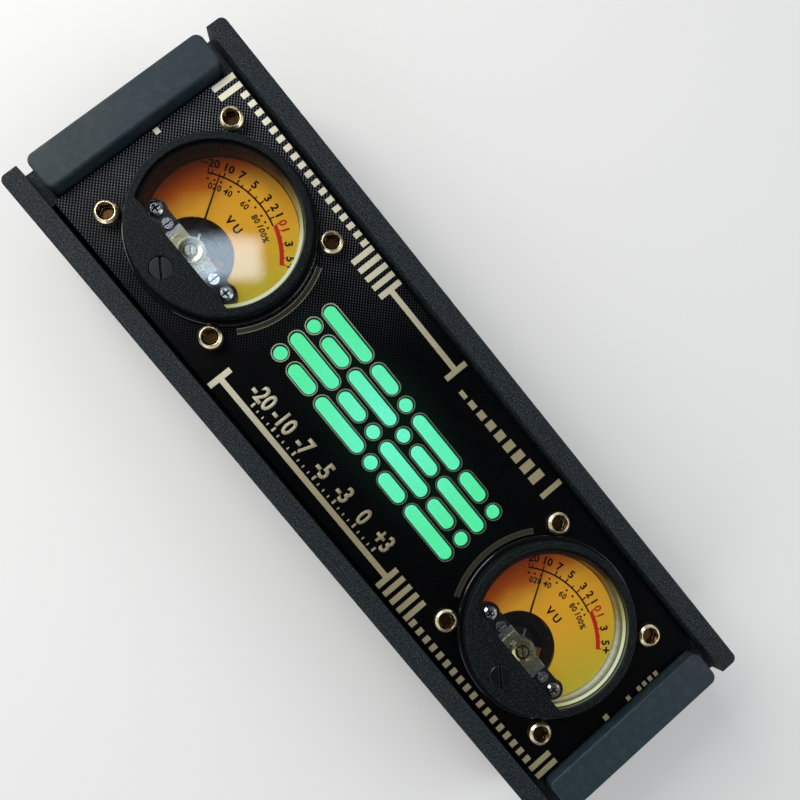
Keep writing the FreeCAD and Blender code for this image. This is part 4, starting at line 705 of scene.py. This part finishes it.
def addObject(name, data):
    holder = bpy.data.objects.new(name, data)
    bpy.context.scene.collection.objects.link(holder)
    return holder


def addMesh(bm, name, material):
    mesh = bpy.data.meshes.new(name)
    bm.to_mesh(mesh)
    bm.free()
    mesh.materials.append(material)
    return addObject(name, mesh)


# printed marks are flat shapes drawn in millimetres, then given a thickness
def bar(bm, x, y, width, height, turn=0.0):
    at = Matrix.Translation((x, y, 0)) @ Matrix.Rotation(math.radians(turn), 4, "Z")
    bmesh.ops.create_grid(bm, x_segments=1, y_segments=1, size=0.5,
                          matrix=at @ Matrix.Diagonal((width, height, 1, 1)))


def dot(bm, x, y, radius, corners):
    bmesh.ops.create_circle(bm, cap_ends=True, segments=corners, radius=radius,
                            matrix=Matrix.Translation((x, y, 0)))


def pillRing(bm, x, y, length, height, line):
    # a disc pulled apart into a pill, with its middle taken out
    corners = 24
    disc = bmesh.ops.create_circle(bm, cap_ends=True, segments=corners, radius=height / 2,
                                   matrix=Matrix.Rotation(math.pi / corners, 4, "Z"))["verts"]
    for way in (-1, 1):
        half = [vertex for vertex in disc if vertex.co.x * way > 0]
        bmesh.ops.translate(bm, verts=half, vec=(way * (length - height) / 2, 0, 0))
    bmesh.ops.translate(bm, verts=disc, vec=(x, y, 0))
    plate = disc[0].link_faces[0]
    bmesh.ops.inset_individual(bm, faces=[plate], thickness=line, use_even_offset=True)
    bmesh.ops.delete(bm, geom=[plate], context="FACES_ONLY")


def arcBand(bm, x, y, inner, outer, start, end, steps):
    # angles run clockwise from straight up, as on the scale
    way = Matrix.Rotation(math.radians(-start), 3, "Z") @ Vector((0, 1, 0))
    centre = Vector((x, y, 0))
    ends = [bm.verts.new(centre + way * radius) for radius in (inner, outer)]
    edge = bm.edges.new(ends)
    bmesh.ops.spin(bm, geom=ends + [edge], cent=centre, axis=(0, 0, -1), angle=math.radians(end - start),
                   steps=steps)


def words(bm, text, x, y, tall, turn=0.0, wide=1.0, bold=0.0, spacing=1.0):
    curve = bpy.data.curves.new("words", "FONT")
    curve.body = text
    curve.offset = bold
    curve.space_character = spacing
    curve.align_x = "CENTER"
    curve.resolution_u = 3
    holder = bpy.data.objects.new("words", curve)
    mesh = bpy.data.meshes.new_from_object(holder)
    highest = max(vertex.co.y for vertex in mesh.vertices)
    grow = tall / highest
    mesh.transform(Matrix.Translation((x, y, 0)) @ Matrix.Rotation(math.radians(turn), 4, "Z")
                   @ Matrix.Diagonal((grow * wide, grow, 1, 1)) @ Matrix.Translation((0, -highest / 2, 0)))
    bm.from_mesh(mesh)
    bpy.data.objects.remove(holder)
    bpy.data.curves.remove(curve)
    bpy.data.meshes.remove(mesh)


def finishPrint(bm, name, x, level, finish, thick=0.03, sink=0.01):
    # thickens the flat marks, puts them on their surface and hangs them on the unit
    bmesh.ops.remove_doubles(bm, verts=bm.verts, dist=0.001)
    bmesh.ops.recalc_face_normals(bm, faces=bm.faces)
    raised = bmesh.ops.extrude_face_region(bm, geom=bm.faces[:], use_keep_orig=True)
    top = [item for item in raised["geom"] if isinstance(item, bmesh.types.BMVert)]
    bmesh.ops.translate(bm, verts=top, vec=(0, 0, thick + sink))
    bmesh.ops.recalc_face_normals(bm, faces=bm.faces)
    bmesh.ops.triangulate(bm, faces=bm.faces)
    seat = Matrix.Translation((x, 0, level - sink * mm))
    bmesh.ops.transform(bm, verts=bm.verts, matrix=seat @ Matrix.Scale(mm, 4))
    piece = addMesh(bm, name, finish)
    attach(piece, "unit")


printLook = {"grain": 0.30, "amount": 0.7, "level": 0.5, "bump": 0.012, "rough": (0.36, 0.5), "metallic": 0.1,
             "patch": 10.0, "edge": 0.05, "wear": 0.2, "specular": 0.3}
inkLook = {"bump": 0.002, "rough": (0.5, 0.6), "edge": 0.02, "wear": 0.1}


def printed(name, base, speck, pale):
    # the board's print, with a painted sheen that makes its colour paler towards the left end
    material = coated(name, {**printLook, "base": base, "speck": speck})
    tree = material.node_tree
    color = tree.nodes["Principled BSDF"].inputs["Base Color"]
    plain = color.links[0].from_socket
    sheenLevel = times(tree, sheenTowardsLeft(tree, *panelLook["printFade"]), panelLook["printPale"])
    plug(tree, color, mixColor(tree, sheenLevel, plain, pale))
    return material


# the last colour of each print is its painted sheen at the left end
goldPrint = printed("panelPrint", (0.25, 0.22, 0.125), (0.35, 0.315, 0.19), (0.88, 0.85, 0.67))
arcPrint = printed("arcPrint", (0.026, 0.023, 0.015), (0.05, 0.044, 0.03), (0.05, 0.044, 0.032))
linePrint = printed("linePrint", (0.062, 0.056, 0.040), (0.10, 0.09, 0.065), (0.50, 0.44, 0.33))
ringPrint = printed("ringPrint", (0.080, 0.110, 0.065), (0.13, 0.17, 0.10), (0.55, 0.60, 0.38))
blackPrint = coated("scaleBlack", {
    **inkLook, "base": (0.006, 0.002, 0.002), "speck": (0.014, 0.005, 0.005), "grain": 0.1, "specular": 0.08})
redPrint = coated("scaleRed", {
    **inkLook, "base": (0.55, 0.016, 0.008), "speck": (0.62, 0.035, 0.012), "grain": 0.12, "specular": 0.2,
    "glow": 0.30, "glowColor": (0.60, 0.020, 0.010)})

stripes = {
    "barWidth": 1.42, "barHeight": 6.35, "barMiddle": 22.3, "barPitch": 2.57, "barFirst": -36.58,
    "barCount": 5, "longTop": (-25.59, -2.01), "longBottom": (-34.09, 25.59), "longWidth": 1.4,
    "squareFirst": -82.3, "squareCount": 18, "squareSize": (1.4, 1.9), "squareMiddle": 24.5,
    "endBars": (-87.4, -84.9), "farTick": 35.7, "edgeSquares": ((-87.6, 2.95), (88.0, -2.95)),
    "edgeSquare": 1.4, "edgeMarks": (4.4, 8.0, 9.8, 11.7, 13.6), "edgeMarkPlace": 88.2,
    "edgeMarkSize": (1.2, 1.1),
}


def makePanelPrint():
    bm = bmesh.new()
    s = stripes
    middle, tall, half = s["barMiddle"], (s["barWidth"], s["barHeight"]), s["barWidth"] / 2
    for way in (1, -1):
        for number in range(s["barCount"]):
            bar(bm, way * (s["barFirst"] + s["barPitch"] * number), way * middle, *tall)
        for number in range(s["squareCount"]):
            bar(bm, way * (s["squareFirst"] + s["barPitch"] * number), way * s["squareMiddle"],
                *s["squareSize"])
        for x in s["endBars"]:
            bar(bm, way * x, way * middle, *tall)
    for (start, end), y in ((s["longTop"], middle), (s["longBottom"], -middle)):
        bar(bm, (start + end) / 2, y, end - start, s["longWidth"])
    bar(bm, s["longTop"][1] + half, middle, *tall)
    bar(bm, s["longBottom"][0] - half, -middle, *tall)
    bar(bm, s["farTick"], middle, *tall)
    for x, y in s["edgeSquares"]:
        bar(bm, x, y, s["edgeSquare"], s["edgeSquare"])
    for y in s["edgeMarks"]:
        bar(bm, s["edgeMarkPlace"], y, *s["edgeMarkSize"])
    finishPrint(bm, "panelStripes", 0, panelTop, goldPrint)


arcs = {"radius": 23.75, "half": 0.68, "edge": 0.16, "reach": 31.5, "steps": 40, "bandThick": 0.02}


def makeArcs():
    # a dim band beside each meter, with a brighter line along both of its edges
    bands, lines = bmesh.new(), bmesh.new()
    inner, outer, edge = arcs["radius"] - arcs["half"], arcs["radius"] + arcs["half"], arcs["edge"]
    for x, way in ((-meterX / mm, 1), (meterX / mm, -1)):
        reach = way * 90 - arcs["reach"], way * 90 + arcs["reach"], arcs["steps"]
        arcBand(bands, x, 0, inner + edge, outer - edge, *reach)
        arcBand(lines, x, 0, inner, inner + edge, *reach)
        arcBand(lines, x, 0, outer - edge, outer, *reach)
    finishPrint(bands, "arcBands", 0, panelTop, arcPrint, arcs["bandThick"])
    finishPrint(lines, "arcLines", 0, panelTop, linePrint)


rings = {
    "rows": [-7.68, -2.56, 2.56, 7.68], "line": 0.28, "room": 0.21, "height": 3.5,
    "lengths": [3.5, 8.4, 16.2], "gaps": [1.9, 1.6, 1.75], "half": 32.475,
}


def makeWindowRings():
    # the same run of dot, medium and long windows in two rows, and mirrored in the two between
    bm = bmesh.new()
    grow = 2 * (rings["line"] + rings["room"])
    for number, y in enumerate(rings["rows"]):
        way = 1 if number % 2 == 0 else -1
        x = -rings["half"]
        for length, gap in list(zip(rings["lengths"], rings["gaps"])) * 2:
            pillRing(bm, (x + length / 2) * way, y, length + grow, rings["height"] + grow, rings["line"])
            x += length + gap
    finishPrint(bm, "windowRings", 0, panelTop, ringPrint)


levelMarks = {
    "blocks": 9, "blockFirst": 4.2, "blockPitch": 3.35, "blockWidth": 2.2, "blockMiddle": 21.4, "lowest": 1.2,
    "highest": 3.9, "numbers": ["-20", "-10", "-7", "-5", "-3", "0", "+3"], "numberFirst": -25.2,
    "numberPitch": 7.35, "numberMiddle": -17.1, "numberHeight": 4.3, "bold": 0.03, "numberWidth": 0.80,
    "tickTop": -19.75, "tickWidth": 0.55, "tickHeight": 1.25, "fineWidth": 0.32, "fineHeight": 0.75,
    "fineCount": 4,
}


def makeLevelMarks():
    # a plain rising row of blocks above the windows and a plain level scale below them
    bm = bmesh.new()
    m = levelMarks
    rise = (m["highest"] - m["lowest"]) / (m["blocks"] - 1)
    for number in range(m["blocks"]):
        height = m["lowest"] + rise * number
        bar(bm, m["blockFirst"] + m["blockPitch"] * number, m["blockMiddle"] - (m["highest"] - height) / 2,
            m["blockWidth"], height)
    tickFoot = m["tickTop"] - m["tickHeight"]
    for number, text in enumerate(m["numbers"]):
        x = m["numberFirst"] + m["numberPitch"] * number
        words(bm, text, x, m["numberMiddle"], m["numberHeight"], 0, m["numberWidth"], m["bold"])
        bar(bm, x, tickFoot + m["tickHeight"] / 2, m["tickWidth"], m["tickHeight"])
        if number < len(m["numbers"]) - 1:
            for fine in range(1, m["fineCount"]):
                bar(bm, x + m["numberPitch"] * fine / m["fineCount"], tickFoot + m["fineHeight"] / 2,
                    m["fineWidth"], m["fineHeight"])
    finishPrint(bm, "levelMarks", 0, panelTop, goldPrint)


makePanelPrint()
makeArcs()
makeWindowRings()
makeLevelMarks()
print("panel print done")

# angles are in degrees clockwise from straight up, about a centre below the middle of the dial
scale = {
    "drop": -8.8, "radius": 19.9, "line": 0.42, "start": -41.2, "zero": 16.6, "end": 44.0, "red": 1.05,
    "steps": {"black": 40, "red": 24},
    "major": {-30.3: 1.2, -20.6: 1.2, -11.4: 1.2, -0.5: 1.25, 6.3: 1.2, 11.5: 1.2}, "majorWidth": 0.34,
    "minor": {-40.9: 1.3, -38.4: 1.05, -16.8: 0.75, -5.3: 0.75}, "minorWidth": 0.30,
    "redTicks": {16.4: 0.75, 20.9: 0.55, 25.3: 0.45, 30.0: 0.75, 34.5: 0.45, 39.0: 0.75, 43.7: 0.75},
    "redTickSink": 0.2,
    "numbers": {-40.0: "\u201320", -29.2: "10", -20.6: "7", -11.2: "5", -0.2: "3", 6.5: "2", 11.8: "1",
                30.3: "3", 39.6: "5", 44.4: "+"},
    "redNumbers": {16.9: "0", 21.5: "1"},
    "numberRadius": 22.45, "numberHeight": 1.92, "numberWide": 1.02, "bold": 0.036,
    "dots": [-40.3, -35.6, -30.6, -23.3, -16.7, -7.0, -0.5, 6.8, 12.2, 16.8], "dotRadius": 18.6,
    "dotSize": 0.29, "dotCorners": 12,
    "lower": {-37.6: "0", -32.2: "20", -23.0: "40", -7.0: "60", 6.8: "80", 19.4: "100%"},
    "lowerRadius": 17.1, "lowerHeight": 1.48, "lowerWide": 0.94, "lowerBold": 0.030, "lowerSpacing": 1.12,
    "unitPlace": (0.05, 3.2), "unitHeight": 2.0, "thick": {"black": 0.012, "red": 0.014},
    "mounted": {"left": (-0.1, -0.05, 0.05), "right": (1.5, -0.26, 0.2)},
}


def onArc(radius, angle):
    way = Matrix.Rotation(math.radians(-angle), 3, "Z") @ Vector((0, radius, 0))
    return way.x, way.y + scale["drop"]


def makeScale(side, x):
    black, red = bmesh.new(), bmesh.new()
    k = scale
    half, outer = k["line"] / 2, k["radius"] + k["red"]
    arcBand(black, 0, k["drop"], k["radius"] - half, k["radius"] + half, k["start"], k["zero"],
            k["steps"]["black"])
    arcBand(red, 0, k["drop"], k["radius"], outer, k["zero"], k["end"], k["steps"]["red"])
    for bm, ticks, width, base in ((black, k["major"], k["majorWidth"], k["radius"]),
                                   (black, k["minor"], k["minorWidth"], k["radius"]),
                                   (red, k["redTicks"], k["minorWidth"], outer - k["redTickSink"])):
        for angle, tall in ticks.items():
            bar(bm, *onArc(base + tall / 2, angle), width, tall, -angle)
    for bm, numbers in ((black, k["numbers"]), (red, k["redNumbers"])):
        for angle, text in numbers.items():
            at = onArc(k["numberRadius"], angle)
            words(bm, text, *at, k["numberHeight"], -angle, k["numberWide"], k["bold"])
    for angle in k["dots"]:
        dot(black, *onArc(k["dotRadius"], angle), k["dotSize"], k["dotCorners"])
    for angle, text in k["lower"].items():
        words(black, text, *onArc(k["lowerRadius"], angle), k["lowerHeight"], -angle, k["lowerWide"],
              k["lowerBold"], k["lowerSpacing"])
    words(black, "V U", *k["unitPlace"], k["unitHeight"], bold=k["bold"])
    # a dial never sits quite square on its seat
    turn, across, up = k["mounted"][side]
    turned = Matrix.Rotation(math.radians(turn), 3, "Z")
    for bm in (black, red):
        bmesh.ops.rotate(bm, verts=bm.verts, cent=(0, k["drop"], 0), matrix=turned)
        bmesh.ops.translate(bm, verts=bm.verts, vec=(across, up, 0))
    finishPrint(black, side + "ScaleBlack", x, dialFace, blackPrint, k["thick"]["black"])
    finishPrint(red, side + "ScaleRed", x, dialFace, redPrint, k["thick"]["red"])


for side, x in sides.items():
    makeScale(side, x)
print("dial scales done")


# floor, light and camera
studio = {
    "floor": (0.80, 0.80, 0.79), "floorSpeck": (0.816, 0.816, 0.8058), "floorGrain": 60.0, "floorSize": 6.0,
    "floorCorners": 96,
    "floorRough": 0.7, "floorSpecular": 0.2, "floorFade": (150.0, 900.0), "farFloor": (0.34, 0.34, 0.345),
    "horizon": (0.93, 0.94, 0.95), "overhead": (0.060, 0.064, 0.070), "skyFade": (0.05, 0.55),
    "ambient": (0.42, 0.43, 0.445), "aim": (0, 0, 0.03),
    "lamps": {
        "keyLight": {"place": (-0.52, -0.10, 0.42), "size": 0.42, "power": 3.5, "color": (1.0, 0.985, 0.96)},
        "fillLight": {"place": (0.42, 0.42, 0.48), "size": 0.5, "power": 1.2, "color": (0.96, 0.98, 1.0)},
        "frontLight": {"place": (0.15, -0.60, 0.42), "size": 0.4, "power": 0.85, "color": (1.0, 1.0, 1.0)},
    },
}
lightPanel = {
    "glow": (4.5, 5.5, 6.6), "aim": (-0.31923, 0.10118, 0.94226), "soft": 0.011,
    "edges": [((0.57587, 0.81037, 0.10809), 0.045), ((-0.75264, 0.57712, -0.31696), 0.026)],
}


def makeFloor():
    material, tree, shader = newMaterial("studioFloor")
    cloud = grainOf(tree, place(tree), studio["floorGrain"], studio["floor"], studio["floorSpeck"])
    # far from the unit the floor runs into the backdrop without a line
    far = remap(tree, lengthOf(tree, place(tree)), *studio["floorFade"], smooth=True)
    path = addNode(tree, "ShaderNodeLightPath").outputs
    seen = calc(tree, "ADD", path["Is Camera Ray"], path["Is Glossy Ray"], clamp=True)
    seen = calc(tree, "ADD", seen, path["Is Transmission Ray"], clamp=True)
    backdrop = mixColor(tree, seen, studio["farFloor"], studio["horizon"])
    feed(tree, shader, {
        "Roughness": studio["floorRough"], "Specular IOR Level": studio["floorSpecular"],
        "Base Color": mixColor(tree, far, cloud["Color"], (0, 0, 0)),
        "Emission Color": mixColor(tree, far, (0, 0, 0), backdrop), "Emission Strength": 1.0})
    bm = bmesh.new()
    bmesh.ops.create_circle(bm, cap_ends=True, segments=studio["floorCorners"], radius=studio["floorSize"])
    floor = addMesh(bm, "studioFloor", material)


def makeWorld():
    # a plain pale backdrop; what shines mirrors a sky darker overhead, and the left lens one soft light panel
    world = bpy.data.worlds.new("studioWorld")
    bpy.context.scene.world = world
    world.use_nodes = True
    tree = world.node_tree
    direction = addNode(tree, "ShaderNodeTexCoord").outputs["Generated"]
    height = axesOf(tree, direction)["Z"]
    upward = remap(tree, height, *studio["skyFade"], smooth=True)
    sky = mixColor(tree, upward, studio["horizon"], studio["overhead"])
    depth = dotOf(tree, direction, lightPanel["aim"])
    path = addNode(tree, "ShaderNodeLightPath").outputs
    ahead = calc(tree, "GREATER_THAN", depth, 0.0)
    inside = times(tree, ahead, calc(tree, "LESS_THAN", path["Diffuse Depth"], 0.5))
    for axis, half in lightPanel["edges"]:
        out = size(tree, calc(tree, "DIVIDE", dotOf(tree, direction, axis), depth))
        edge = remap(tree, out, half + lightPanel["soft"], half - lightPanel["soft"], smooth=True)
        inside = times(tree, inside, edge)
    lit = mixColor(tree, inside, sky, lightPanel["glow"])
    shiny = mixColor(tree, path["Is Glossy Ray"], studio["ambient"], lit)
    seen = calc(tree, "SUBTRACT", path["Is Transmission Ray"], path["Is Glossy Ray"], clamp=True)
    seen = calc(tree, "ADD", path["Is Camera Ray"], seen, clamp=True)
    plug(tree, tree.nodes["Background"].inputs["Color"], mixColor(tree, seen, shiny, studio["horizon"]))


def makeLamps():
    for name, lamp in studio["lamps"].items():
        data = bpy.data.lights.new(name, "AREA")
        data.size = lamp["size"]
        data.energy = lamp["power"]
        data.color = lamp["color"]
        holder = addObject(name, data)
        holder.location = lamp["place"]
        aim = Vector(studio["aim"]) - Vector(lamp["place"])
        holder.rotation_euler = aim.to_track_quat("-Z", "Y").to_euler()


camera = {"place": (0.000699, -0.021223, 0.195663), "turn": (0.398, -6.641, 50.298), "lens": 31.38,
          "sensor": 36, "near": 0.005, "shift": (-0.0035, 0.1097)}


def makeCamera():
    data = bpy.data.cameras.new("camera")
    data.lens = camera["lens"]
    data.sensor_width = camera["sensor"]
    data.shift_x, data.shift_y = camera["shift"]
    data.clip_start = camera["near"]
    holder = addObject("camera", data)
    holder.location = camera["place"]
    holder.rotation_euler = Euler([math.radians(angle) for angle in camera["turn"]])
    bpy.context.scene.camera = holder


makeFloor()
makeWorld()
makeLamps()
makeCamera()
bpy.context.scene.view_settings.view_transform = "Standard"
print("studio ready")

bpy.context.view_layer.update()
